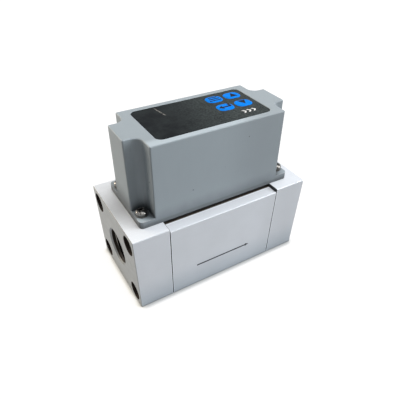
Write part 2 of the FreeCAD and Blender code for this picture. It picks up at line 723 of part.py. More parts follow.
def stack_disc(label, depth, thickness, pitch, wall, rings):
    """Round disc of cells at a depth inside the flow body's recess."""
    along = Rotation(Vector(0, 1, 0), 90)
    body = new_body(label, f"{depth} - {SEAM}", "0", BORE_AXIS, along)
    outline = new_sketch(body, "XY_Plane")
    circle(outline, STACK_DISC)
    pad(body, outline, thickness)
    cell_grid(body, pitch, wall, rings)
    return body


def flow_conditioner():
    """Screen, straightener, spacer ring and screen, one behind the other."""
    screen = ("dims.screen_thickness", "dims.screen_pitch", "dims.screen_bar", SCREEN_RINGS)
    stack_disc("front_screen", "0", *screen)
    stack_disc("flow_straightener", "dims.screen_thickness", "dims.straightener_length", "dims.cell_pitch",
               "dims.cell_wall", CELL_RINGS)
    behind = "(dims.screen_thickness + dims.straightener_length)"
    spacer = new_body("screen_spacer", f"{behind} - {SEAM}", "0", BORE_AXIS)
    ring = new_sketch(spacer, "YZ_Plane")
    circle(ring, STACK_DISC)
    circle(ring, f"{STACK_DISC} - 2 * dims.spacer_wall")
    pad(spacer, ring, "dims.spacer_length")
    stack_disc("rear_screen", f"({behind} + dims.spacer_length)", *screen)


# Sensor


def sensor_carrier():
    """Flanged plug that closes the well, saddled to the bore, with a slot for the sensor board."""
    body = new_body("sensor_carrier", "0", "0", FLANGE_SEAT)
    flange = new_sketch(body, "XY_Plane")
    rectangle(flange, "(dims.flange_length - 2 * dims.flange_play)",
              "(dims.flange_width - 2 * dims.flange_play)")
    pad(body, flange, "dims.flange_thickness")
    axis_drop = f"({FLANGE_SEAT} - {BORE_AXIS})"
    stem = new_sketch(body, "XY_Plane")
    circle(stem, STEM_SIZE)
    pad(body, stem, axis_drop, reverse=True)
    neck = new_sketch(body, "XY_Plane", "dims.flange_thickness")
    rectangle(neck, "dims.neck_length", "dims.neck_width")
    pad(body, neck, "dims.flow_drop + dims.plate_thickness + dims.neck_above")

    saddle = new_sketch(body, "YZ_Plane")
    circle(saddle, "dims.flow_bore", "0", f"-{axis_drop}")
    pocket(body, saddle, midplane=True)
    slot = new_sketch(body, "XY_Plane")
    rectangle(slot, "(dims.blade_length + 2 * dims.blade_play)",
              "(dims.blade_thickness + 2 * dims.blade_play)")
    pocket(body, slot, midplane=True)
    groove_floor = "(dims.well_size / 2 - dims.stem_seal_wire)"
    outer = "dims.well_size / 2"
    low = "(-dims.stem_seal_depth - dims.stem_seal_groove / 2)"
    high = "(-dims.stem_seal_depth + dims.stem_seal_groove / 2)"
    seal = new_sketch(body, "XZ_Plane")
    polygon(seal, [(groove_floor, low), (outer, low), (outer, high), (groove_floor, high)])
    before = body.Shape.Volume
    cut = body.newObject("PartDesign::Groove", "sensor_carrier_groove")
    cut.Profile = seal
    cut.ReferenceAxis = (seal, ["V_Axis"])
    cut.Angle = 360
    lessened(body, cut, before)
    spots = [(f"{side} * dims.flange_screw_offset", "0") for side in (-1, 1)]
    sink_holes(body, "dims.flange_thickness", 1, spots)
    return body


def sensor_parts():
    """What the carrier holds: its sealing ring, the board with its chip, the screws and the gasket."""
    sensor_carrier()
    ring = doc.addObject("Part::Torus", "sensor_seal")
    ring.Label = "sensor_seal"
    ring.setExpression("Radius1", "dims.well_size / 2 - dims.stem_seal_wire / 2")
    ring.setExpression("Radius2", "dims.stem_seal_wire / 2 - dims.seal_relief")
    place(ring, "0", "0", f"{FLANGE_SEAT} - dims.stem_seal_depth")

    low = f"({BORE_AXIS} - dims.blade_below_axis)"
    box_piece("sensor_board", "dims.blade_length", "dims.blade_thickness", f"{BLADE_TOP} - {low}", z=low)
    box_piece("sensor_chip", "dims.chip_size", "dims.chip_thickness", "dims.chip_size",
              y="-(dims.blade_thickness + dims.chip_thickness) / 2", z=f"{BORE_AXIS} - dims.chip_size / 2")

    spans = (("X_Axis", "2 * dims.flange_screw_offset"),)
    fasteners("sensor_screws", sunk_profile("dims.flange_screw_length"), spans,
              "-dims.flange_screw_offset", "0", FLOW_TOP)

    gasket = new_body("neck_gasket", "0", "0", FLOW_TOP)
    ring = new_sketch(gasket, "XY_Plane")
    opening = ("(dims.neck_length + 2 * dims.neck_play)", "(dims.neck_width + 2 * dims.neck_play)")
    rectangle(ring, *opening)
    rectangle(ring, *(f"({side} + 2 * dims.gasket_border)" for side in opening))
    pad(gasket, ring, "dims.flow_drop")


# Housing


def housing_outline(sketch, inset):
    """Outline of a full-width middle with a narrow tongue at each end, drawn inwards by an inset."""
    middle_x = f"({MIDDLE_LENGTH} / 2 - {inset})"
    middle_y = f"(dims.base_width / 2 - {inset})"
    tongue_x = f"(dims.base_length / 2 - {inset})"
    tongue_y = f"(dims.tongue_width / 2 - {inset})"
    quarter = [(tongue_x, tongue_y), (middle_x, tongue_y), (middle_x, middle_y)]
    corners = list(quarter)
    corners += [(f"-{x}", y) for x, y in reversed(quarter)]
    corners += [(f"-{x}", f"-{y}") for x, y in quarter]
    corners += [(x, f"-{y}") for x, y in reversed(quarter)]
    polygon(sketch, corners)


def key_spots():
    """Centres of the four keys."""
    return [(f"(dims.key_x + {side} * dims.key_pitch_x / 2)", f"(dims.key_y + {row} * dims.key_pitch_y / 2)")
            for side in (-1, 1) for row in (-1, 1)]


def boss_spots():
    """Centres of the four bosses that take the base plate's screws."""
    return [(f"{side} * {BOSS_X}", f"{row} * {BOSS_Y}") for side in (-1, 1) for row in (-1, 1)]


def post_spots():
    """Centres of the four posts that carry the circuit boards."""
    return [(x, f"{row} * {POST_Y}") for x in (POST_LEFT, POST_RIGHT) for row in (-1, 1)]


def is_plumb(face):
    """Whether a face is flat and exactly upright."""
    return face.Surface.TypeId == "Part::GeomPlane" and abs(face.normalAt(0, 0).z) < SAME


def at_level(level):
    """Test for the edges that lie in one level plane."""
    target = number(level)

    def wanted(edge):
        return all(abs(vertex.Point.z - target) < SAME for vertex in edge.Vertexes)

    return wanted


def upright_at(x, y):
    """Test for upright edges that start near the four mirror images of a point."""
    spot_x, spot_y = number(x), number(y)

    def wanted(edge):
        foot = min((vertex.Point for vertex in edge.Vertexes), key=lambda point: point.z)
        aside = max(abs(abs(foot.x) - spot_x), abs(abs(foot.y) - spot_y))
        return is_upright(edge) and aside < CORNER_REACH

    return wanted


def on_window_rim(edge):
    """Whether an edge lies on the housing's top and round the window, inside the housing's own rim."""
    low, high = edge.BoundBox.ZMin, edge.BoundBox.ZMax
    top = number("dims.housing_height")
    inside = number("dims.base_width / 2 - dims.window_margin_y + abs(dims.window_y)") + SAME
    return low > top - SAME and high < top + SAME and max(
        abs(vertex.Point.y) for vertex in edge.Vertexes) < inside


def housing():
    """Cast shell: drafted walls, four notches down to corner pads, window recess, bosses and land."""
    body = new_body("housing", "0", "0", "dims.block_height")
    block = new_sketch(body, "XY_Plane")
    rectangle(block, "dims.base_length", "dims.base_width")
    pad(body, block, "dims.housing_height")
    draft(body, "dims.housing_draft", is_plumb)

    corner_x = "(dims.base_length - dims.tongue_length) / 2"
    corner_y = "(dims.base_width + dims.tongue_width) / 4"
    notch = new_sketch(body, "XY_Plane", "dims.pad_height")
    for side in (-1, 1):
        for row in (-1, 1):
            rectangle(notch, "dims.tongue_length", "((dims.base_width - dims.tongue_width) / 2)",
                      f"{side} * {corner_x}", f"{row} * {corner_y}")
    pocket(body, notch, reverse=True)
    draft(body, "dims.housing_draft", is_plumb)
    fillet(body, "dims.notch_round", upright_at(f"{MIDDLE_LENGTH} / 2", "dims.tongue_width / 2"))
    fillet(body, "dims.pad_round", upright_at("dims.base_length / 2", "dims.base_width / 2"))
    fillet(body, "dims.edge_round", upright_at("dims.base_length / 2", "dims.tongue_width / 2"))
    fillet(body, "dims.edge_round", upright_at(f"{MIDDLE_LENGTH} / 2", "dims.base_width / 2"))
    fillet(body, "dims.rim_round", at_level("dims.housing_height"))

    cavity = new_sketch(body, "XY_Plane")
    housing_outline(cavity, "dims.housing_wall")
    pocket(body, cavity, "dims.housing_height - dims.housing_roof", reverse=True)
    draft(body, "dims.housing_draft", is_plumb, reverse=True)
    inner_notch = upright_at(f"{MIDDLE_LENGTH} / 2 - dims.housing_wall",
                             "dims.tongue_width / 2 - dims.housing_wall")
    fillet(body, "dims.notch_round + dims.housing_wall", inner_notch)
    housing_openings(body)
    housing_bosses(body)
    plug_land(body)
    return body


def housing_openings(body):
    """Recess for the window film, the opening over the display, a hole per key and the screw holes."""
    recess = new_sketch(body, "XY_Plane", "dims.housing_height")
    rounded_rectangle(recess, WINDOW_LENGTH, WINDOW_WIDTH, "dims.window_round", "dims.window_x",
                      "dims.window_y")
    pocket(body, recess, "dims.window_recess")
    fillet(body, "dims.window_rim", on_window_rim)
    openings = new_sketch(body, "XY_Plane", "dims.housing_height - dims.window_recess")
    rectangle(openings, "(dims.glass_length - 2 * dims.glass_lap_x)", f"({GLASS_WIDTH} - 2 * dims.glass_lap_y)",
              "dims.sight_x", "dims.window_y")
    for x, y in key_spots():
        circle(openings, "dims.key_hole", x, y)
    pocket(body, openings, "dims.housing_roof - dims.window_recess")
    screws = new_sketch(body, "XY_Plane", "dims.pad_height")
    for side in (-1, 1):
        for row in (-1, 1):
            circle(screws, "dims.small_screw + 2 * dims.pad_screw_play", f"{side} * {PAD_SCREW_X}",
                   f"{row} * {PAD_SCREW_Y}")
    pocket(body, screws, "dims.pad_height")


def housing_bosses(body):
    """Four bosses from the roof down to the base plate, tapped for its screws."""
    posts = new_sketch(body, "XY_Plane", "dims.plate_thickness")
    taps = new_sketch(body, "XY_Plane", "dims.plate_thickness")
    for x, y in boss_spots():
        circle(posts, "dims.boss_size", x, y)
        circle(taps, "dims.small_screw + 2 * dims.thread_play", x, y)
    pad(body, posts, "dims.housing_height - dims.housing_roof - dims.plate_thickness")
    pocket(body, taps, "dims.plate_screw_length - dims.plate_thickness + dims.tap_beyond", reverse=True)


def plug_land(body):
    """Flat land on the drafted back wall, and the barrel's hole, cut well past the wall's inner side."""
    land = new_sketch(body, "XZ_Plane", f"-{LAND_FACE}")
    circle(land, "dims.plug_land", "0", "dims.plug_height")
    pad(body, land, "dims.housing_wall")
    hole = new_sketch(body, "XZ_Plane", f"-{LAND_FACE}")
    circle(hole, "dims.plug_barrel + 2 * dims.plug_play", "0", "dims.plug_height")
    pocket(body, hole, "2 * dims.housing_wall", reverse=True)


def split_washers():
    """Spring washers between the housing screws' heads and the pads, each cut through at one place."""
    body = new_body("screw_washers", f"-{PAD_SCREW_X}", f"-{PAD_SCREW_Y}", "dims.block_height + dims.pad_height")
    ring = new_sketch(body, "XY_Plane")
    circle(ring, "dims.washer_size")
    circle(ring, "dims.small_screw + 2 * dims.pad_screw_play")
    washer = pad(body, ring, "dims.washer_thickness")
    split = new_sketch(body, "XY_Plane")
    rectangle(split, "dims.washer_size / 2", "dims.washer_split", "dims.washer_size / 4")
    cut = pocket(body, split, reverse=True)
    grid(body, [washer, cut], ("X_Axis", f"2 * {PAD_SCREW_X}"), ("Y_Axis", f"2 * {PAD_SCREW_Y}"))


def window_film():
    """Printed film in the recess, with four raised keys."""
    body = new_body("window_film", "dims.window_x", "dims.window_y", FILM_SEAT)
    sheet = new_sketch(body, "XY_Plane")
    rounded_rectangle(sheet, f"({WINDOW_LENGTH} - 2 * dims.film_play)",
                      f"({WINDOW_WIDTH} - 2 * dims.film_play)", "(dims.window_round - dims.film_play)")
    pad(body, sheet, "dims.film_thickness")
    keys = new_sketch(body, "XY_Plane", "dims.film_thickness")
    for x, y in key_spots():
        rounded_rectangle(keys, "dims.key_length", "dims.key_width", "dims.key_round",
                          f"({x} - dims.window_x)", f"({y} - dims.window_y)")
    pad(body, keys, "dims.key_rise")
    return body


def base_plate():
    """Plate that closes the housing from below, with the sensor's opening and the screw holes."""
    body = new_body("base_plate", "0", "0", "dims.block_height")
    outline = new_sketch(body, "XY_Plane")
    housing_outline(outline, "(dims.housing_wall + dims.plate_play)")
    pad(body, outline, "dims.plate_thickness")
    notch = upright_at(f"{MIDDLE_LENGTH} / 2 - dims.housing_wall - dims.plate_play",
                       "dims.tongue_width / 2 - dims.housing_wall - dims.plate_play")
    fillet(body, "dims.notch_round + dims.housing_wall + dims.plate_play", notch)
    openings = new_sketch(body, "XY_Plane", "dims.plate_thickness")
    rectangle(openings, "(dims.neck_length + 2 * dims.neck_play)", "(dims.neck_width + 2 * dims.neck_play)")
    for x, y in post_spots():
        circle(openings, "dims.post_stud + 2 * dims.thread_play", x, y)
    pocket(body, openings)
    sink_holes(body, "0", -1, boss_spots())
    return body


# Electronics


def circuit_board(label, level, hole_size):
    """Circuit board with a hole at each post."""
    body = new_body(label, "0", "0", level)
    outline = new_sketch(body, "XY_Plane")
    rectangle(outline, BOARD_LENGTH, BOARD_WIDTH)
    for x, y in post_spots():
        circle(outline, hole_size, x, y)
    pad(body, outline, "dims.board_thickness")
    return body


def posts(label, level, height, stud_length, blind_depth):
    """Four hexagonal posts, each with a stud below and a tapped hole above."""
    body = new_body(label, POST_LEFT, f"-{POST_Y}", level)
    column = new_sketch(body, "XY_Plane")
    hexagon(column, "dims.post_size")
    stud = new_sketch(body, "XY_Plane")
    circle(stud, "dims.post_stud")
    tap = new_sketch(body, "XY_Plane", height)
    circle(tap, "dims.post_stud + 2 * dims.thread_play")
    features = [pad(body, column, height), pad(body, stud, stud_length, reverse=True)]
    features.append(pocket(body, tap, blind_depth))
    grid(body, features, ("X_Axis", f"{POST_RIGHT} - {POST_LEFT}"), ("Y_Axis", f"2 * {POST_Y}"))
    return body


def board_stack():
    """Base plate, posts and the two circuit boards, one above the other."""
    base_plate()
    fasteners("base_plate_screws", sunk_profile("dims.plate_screw_length"),
              (("X_Axis", f"2 * {BOSS_X}"), ("Y_Axis", f"2 * {BOSS_Y}")),
              f"-{BOSS_X}", BOSS_Y, "dims.block_height", Rotation(Vector(1, 0, 0), 180))
    tapped = "(dims.post_stud_length + dims.tap_beyond)"
    posts("lower_posts", PLATE_TOP, "dims.lower_post", "dims.plate_thickness", tapped)
    circuit_board("main_board", MAIN_BOARD, "dims.post_stud + 2 * dims.stud_play")
    upper = f"({DISPLAY_BOARD} - {MAIN_BOARD_TOP})"
    posts("upper_posts", MAIN_BOARD_TOP, upper, "dims.board_thickness + dims.post_stud_length", tapped)
    circuit_board("display_board", DISPLAY_BOARD, "dims.post_stud + 2 * dims.stud_play")
    screw = pan_profile("dims.post_stud", "dims.board_screw_head", "dims.board_screw_rise",
                        "(dims.board_thickness + dims.post_stud_length)")
    fasteners("board_screws", screw, (("X_Axis", f"{POST_RIGHT} - {POST_LEFT}"),
                                      ("Y_Axis", f"2 * {POST_Y}")),
              POST_LEFT, f"-{POST_Y}", DISPLAY_BOARD_TOP)


def board_parts():
    """What is soldered to the main board: sensor socket, processor, header, capacitor, lead plug."""
    socket = new_body("sensor_socket", "0", "0", f"{MAIN_BOARD} - dims.socket_height")
    block = new_sketch(socket, "XY_Plane")
    rectangle(block, "dims.socket_length", "dims.socket_width")
    pad(socket, block, "dims.socket_height")
    slot = new_sketch(socket, "XY_Plane")
    rectangle(slot, "(dims.blade_length + 2 * dims.blade_play)",
              "(dims.blade_thickness + 2 * dims.blade_play)")
    pocket(socket, slot, "dims.socket_depth", reverse=True)
    box_piece("processor", "dims.processor_size", "dims.processor_size", "dims.processor_thickness",
              "dims.processor_x", z=MAIN_BOARD_TOP)
    box_piece("stacking_header", "dims.header_length", "dims.header_width",
              f"{DISPLAY_BOARD} - {MAIN_BOARD_TOP}", "0", f"(dims.header_inset - {BOARD_WIDTH} / 2)",
              MAIN_BOARD_TOP)
    can = doc.addObject("Part::Cylinder", "supply_capacitor")
    can.Label = "supply_capacitor"
    can.setExpression("Radius", "dims.capacitor_size / 2")
    can.setExpression("Height", "dims.capacitor_height")
    place(can, "dims.capacitor_x", "dims.capacitor_y", MAIN_BOARD_TOP)


def display_and_switches():
    """Frame and glass of the display, and a switch below each key."""
    frame = new_body("display_frame", "dims.sight_x", "dims.window_y", DISPLAY_BOARD_TOP)
    rim = new_sketch(frame, "XY_Plane")
    rectangle(rim, "dims.glass_length", GLASS_WIDTH)
    pad(frame, rim, "dims.frame_height")
    box_piece("display_glass", "dims.glass_length", GLASS_WIDTH, "dims.glass_thickness",
              "dims.sight_x", "dims.window_y", GLASS_SEAT)
    body = new_body("key_switches", "dims.key_x - dims.key_pitch_x / 2", "dims.key_y - dims.key_pitch_y / 2",
                    DISPLAY_BOARD_TOP)
    case = new_sketch(body, "XY_Plane")
    rectangle(case, "dims.switch_size", "dims.switch_size")
    plunger = new_sketch(body, "XY_Plane", "dims.switch_height")
    circle(plunger, "dims.plunger_size")
    reach = f"({FILM_SEAT} - dims.plunger_gap - {DISPLAY_BOARD_TOP} - dims.switch_height)"
    features = [pad(body, case, "dims.switch_height"), pad(body, plunger, reach)]
    grid(body, features, ("X_Axis", "dims.key_pitch_x"), ("Y_Axis", "dims.key_pitch_y"))


# Connector in the back wall


def turned_about_plug(label, profile, start):
    """Body turned about the connector's axis, which points out of the back wall along +Y."""
    body = new_body(label, "0", start, PLUG_AXIS, Rotation(Vector(1, 0, 0), -90))
    outline = new_sketch(body, "XZ_Plane")
    polygon(outline, profile)
    revolve(body, outline)
    return body


def tube_profile(inner, outer, low, high):
    """Half section of a plain tube."""
    return [(f"{inner} / 2", low), (f"{outer} / 2", low), (f"{outer} / 2", high), (f"{inner} / 2", high)]


def connector():
    """Flanged barrel with its seal, nut, pin insert and pins, and the lead to the main board."""
    face = f"({LAND_FACE} + dims.plug_seal_thickness)"
    front = "(dims.plug_flange_thickness + dims.plug_front)"
    turned_about_plug("connector_shell", [
        ("dims.plug_bore / 2", "-dims.plug_rear"),
        ("dims.plug_barrel / 2", "-dims.plug_rear"),
        ("dims.plug_barrel / 2", "0"),
        ("dims.plug_flange / 2", "0"),
        ("dims.plug_flange / 2", "dims.plug_flange_thickness"),
        ("dims.plug_barrel / 2", "dims.plug_flange_thickness"),
        ("dims.plug_barrel / 2", front),
        ("dims.plug_bore / 2", front),
    ], face)
    seal_outer = "(dims.plug_barrel + 2 * dims.plug_play + 2 * dims.plug_seal_width)"
    turned_about_plug("connector_seal",
                      tube_profile("(dims.plug_barrel + 2 * dims.plug_play)", seal_outer, "0",
                                   "dims.plug_seal_thickness"), LAND_FACE)
    tail = "(dims.plug_rear + dims.insert_tail)"
    insert = turned_about_plug("connector_insert", [
        ("0", f"-{tail}"),
        ("dims.plug_bore / 2", f"-{tail}"),
        ("dims.plug_bore / 2", f"{front} - dims.insert_recess"),
        ("0", f"{front} - dims.insert_recess"),
    ], face)
    holes = new_sketch(insert, "XY_Plane", f"{front} - dims.insert_recess")
    circle(holes, "dims.pin_size", "dims.pin_circle / 2")
    cut = pocket(insert, holes, "dims.insert_recess")
    ring_of(insert, [cut], "Z_Axis", PIN_COUNT)

    pins = new_body("connector_pins", "0", face, PLUG_AXIS, Rotation(Vector(1, 0, 0), -90))
    pin = new_sketch(pins, "XY_Plane", f"{front} - 2 * dims.insert_recess")
    circle(pin, "dims.pin_size", "dims.pin_circle / 2")
    ring_of(pins, [pad(pins, pin, "dims.insert_recess + dims.pin_rise")], "Z_Axis", PIN_COUNT)

    wall = "(dims.base_width / 2 - dims.housing_wall - dims.plug_height * tan(dims.housing_draft * 1 deg))"
    nut_face = f"({wall} - (dims.nut_width / sqrt(3)) * tan(dims.housing_draft * 1 deg) - dims.nut_gap)"
    nut = new_body("connector_nut", "0", nut_face, PLUG_AXIS, Rotation(Vector(1, 0, 0), 90))
    flats = new_sketch(nut, "XY_Plane")
    hexagon(flats, "dims.nut_width")
    circle(flats, "dims.plug_barrel + 2 * dims.thread_play")
    pad(nut, flats, "dims.nut_thickness")
    lead(face, tail)


def lead(face, tail):
    """Lead from the back of the insert, round one bend, down to its plug on the main board."""
    start = f"({face} - {tail})"
    column = f"({start} - dims.lead_run - dims.lead_bend)"
    plug_top = f"({MAIN_BOARD_TOP} + dims.lead_plug_height)"
    box_piece("lead_plug", "dims.lead_plug_length", "dims.lead_plug_width", "dims.lead_plug_height",
              "0", column, MAIN_BOARD_TOP)
    body = new_body("power_lead", "0", start, PLUG_AXIS)
    run, bend = number("dims.lead_run"), number("dims.lead_bend")
    drop = number(f"{PLUG_AXIS} - {plug_top}")
    path = new_sketch(body, "YZ_Plane")
    first = path.addGeometry(Part.LineSegment(Vector(0, 0, 0), Vector(-run, 0, 0)), False)
    centre = Vector(-run, -bend, 0)
    quarter = Part.ArcOfCircle(Part.Circle(centre, Vector(0, 0, 1), bend), number("pi") / 2, number("pi"))
    arc = path.addGeometry(quarter, False)
    down = Part.LineSegment(Vector(-run - bend, -bend, 0), Vector(-run - bend, -drop, 0))
    second = path.addGeometry(down, False)
    path.addConstraint(Sketcher.Constraint("Coincident", first, 1, -1, 1))
    path.addConstraint(Sketcher.Constraint("Tangent", first, 2, arc, 1))
    path.addConstraint(Sketcher.Constraint("Tangent", arc, 2, second, 1))
    path.addConstraint(Sketcher.Constraint("Horizontal", first))
    path.addConstraint(Sketcher.Constraint("Vertical", second))
    tie(path, "DistanceX", (first, 2, first, 1), "dims.lead_run")
    tie(path, "Radius", (arc,), "dims.lead_bend")
    tie(path, "DistanceY", (second, 2, -1, 1), f"{PLUG_AXIS} - {plug_top}")
    section = new_sketch(body, "XZ_Plane")
    circle(section, "dims.lead_size")
    pipe = body.newObject("PartDesign::AdditivePipe", "power_lead_pipe")
    pipe.Profile = section
    pipe.Spine = path
    doc.recompute()


def write_parts():
    """Check every object and sub-part, then write one file for each sub-part."""
    doc.recompute()
    for item in doc.Objects:
        if "Invalid" in item.State or "Error" in item.State:
            raise ValueError(f"{item.Label} failed")
    for piece in subparts:
        if piece.Shape.isNull() or not piece.Shape.isValid():
            raise ValueError(f"{piece.Label} has no valid shape")
    os.makedirs("parts", exist_ok=True)
    for piece in subparts:
        piece.Shape.exportStep(f"parts/{piece.Label}.step")


end_block("inlet_block", -1, STACK_OPENING)
end_block("outlet_block", 1, "dims.flow_bore")
flow_body()
seam_seal("inlet_seal", -1)
seam_seal("outlet_seal", 1)
end_bolts("inlet_bolts", -1)
end_bolts("outlet_bolts", 1)
flow_conditioner()
sensor_parts()
housing()
window_film()
split_washers()
fasteners("housing_screws", pan_profile("dims.small_screw", "dims.pad_screw_head", "dims.pad_screw_rise",
                                        "dims.pad_screw_length"),
          (("X_Axis", f"2 * {PAD_SCREW_X}"), ("Y_Axis", f"2 * {PAD_SCREW_Y}")),
          f"-{PAD_SCREW_X}", f"-{PAD_SCREW_Y}",
          "dims.block_height + dims.pad_height + dims.washer_thickness")
board_stack()
board_parts()
display_and_switches()
connector()
write_parts()
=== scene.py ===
"""Looks of a gas mass flow meter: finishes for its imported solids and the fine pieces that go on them.

Lengths are in metres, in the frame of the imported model: +X along the flow, the front faces -Y, z = 0 is the
face that the meter stands on.
"""

import logging
import math
from collections.abc import Iterable, Sequence
from dataclasses import dataclass
from enum import Enum
from typing import Protocol, Union

import bmesh
import bpy
import numpy as np
from mathutils import Matrix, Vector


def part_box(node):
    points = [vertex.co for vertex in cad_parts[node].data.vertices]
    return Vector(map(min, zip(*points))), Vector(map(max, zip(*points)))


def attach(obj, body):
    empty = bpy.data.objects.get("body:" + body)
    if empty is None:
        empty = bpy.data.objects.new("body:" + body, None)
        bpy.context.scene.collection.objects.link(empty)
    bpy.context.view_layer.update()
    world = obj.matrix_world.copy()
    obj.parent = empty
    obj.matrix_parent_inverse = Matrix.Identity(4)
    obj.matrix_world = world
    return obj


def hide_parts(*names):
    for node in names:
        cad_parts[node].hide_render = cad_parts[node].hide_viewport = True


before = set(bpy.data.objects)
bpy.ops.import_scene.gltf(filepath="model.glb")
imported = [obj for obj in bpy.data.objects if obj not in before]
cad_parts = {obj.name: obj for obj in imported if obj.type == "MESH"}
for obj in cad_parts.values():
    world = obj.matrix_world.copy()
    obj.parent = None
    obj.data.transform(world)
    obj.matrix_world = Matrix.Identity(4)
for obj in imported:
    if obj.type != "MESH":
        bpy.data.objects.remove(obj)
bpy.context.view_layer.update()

MM = 0.001
PHOTO_SIDE = 400
log = logging.getLogger("flow_meter")

Colour = tuple[float, float, float]
Shape = tuple[np.ndarray, list]
Term = Union["Field", float, Sequence[float]]


class Side(Enum):
    """End of the meter that a twin piece belongs to."""

    INLET = -1
    OUTLET = 1


class Field:
    """A quantity that varies over a surface: one socket of a material, extended by Python's operators."""

    def __init__(self, bench: "Bench", socket: bpy.types.NodeSocket) -> None:
        """Keep the socket and the bench whose nodes extend it."""
        self.bench = bench
        self.socket = socket

    def __add__(self, other: Term) -> "Field":
        """Sum of two values."""
        return self.bench.math("ADD", self, other)

    def __mul__(self, other: Term) -> "Field":
        """Product of two values."""
        return self.bench.math("MULTIPLY", self, other)

    __radd__ = __add__
    __rmul__ = __mul__

    def __sub__(self, other: Term) -> "Field":
        """This value less another."""
        return self.bench.math("SUBTRACT", self, other)

    def __rsub__(self, other: Term) -> "Field":
        """Another value less this one."""
        return self.bench.math("SUBTRACT", other, self)

    def __truediv__(self, other: Term) -> "Field":
        """This value divided by another."""
        return self.bench.math("DIVIDE", self, other)

    def __abs__(self) -> "Field":
        """The value without its sign."""
        return self.bench.math("ABSOLUTE", self)

    def at_least(self, other: Term) -> "Field":
        """The larger of two values."""
        return self.bench.math("MAXIMUM", self, other)

    def at_most(self, other: Term) -> "Field":
        """The smaller of two values."""
        return self.bench.math("MINIMUM", self, other)

    def less(self, *shares: "Field") -> "Field":
        """What is left of the value when each share is taken off in turn.

        Args:
            shares: Shares from 0, nothing, to 1, all of it.

        Returns:
            The remaining value.
        """
        value = self
        for share in shares:
            value = value * (1.0 - share)
        return value

    def ramp(self, low: float, high: float, start: float = 0.0, end: float = 1.0) -> "Field":
        """Smooth climb from start, at low, to end, at high, where low may be the larger of the two."""
        values = {"Value": self, "From Min": low, "From Max": high, "To Min": start, "To Max": end}
        return self.bench.add("ShaderNodeMapRange", {"interpolation_type": "SMOOTHSTEP"}, values)


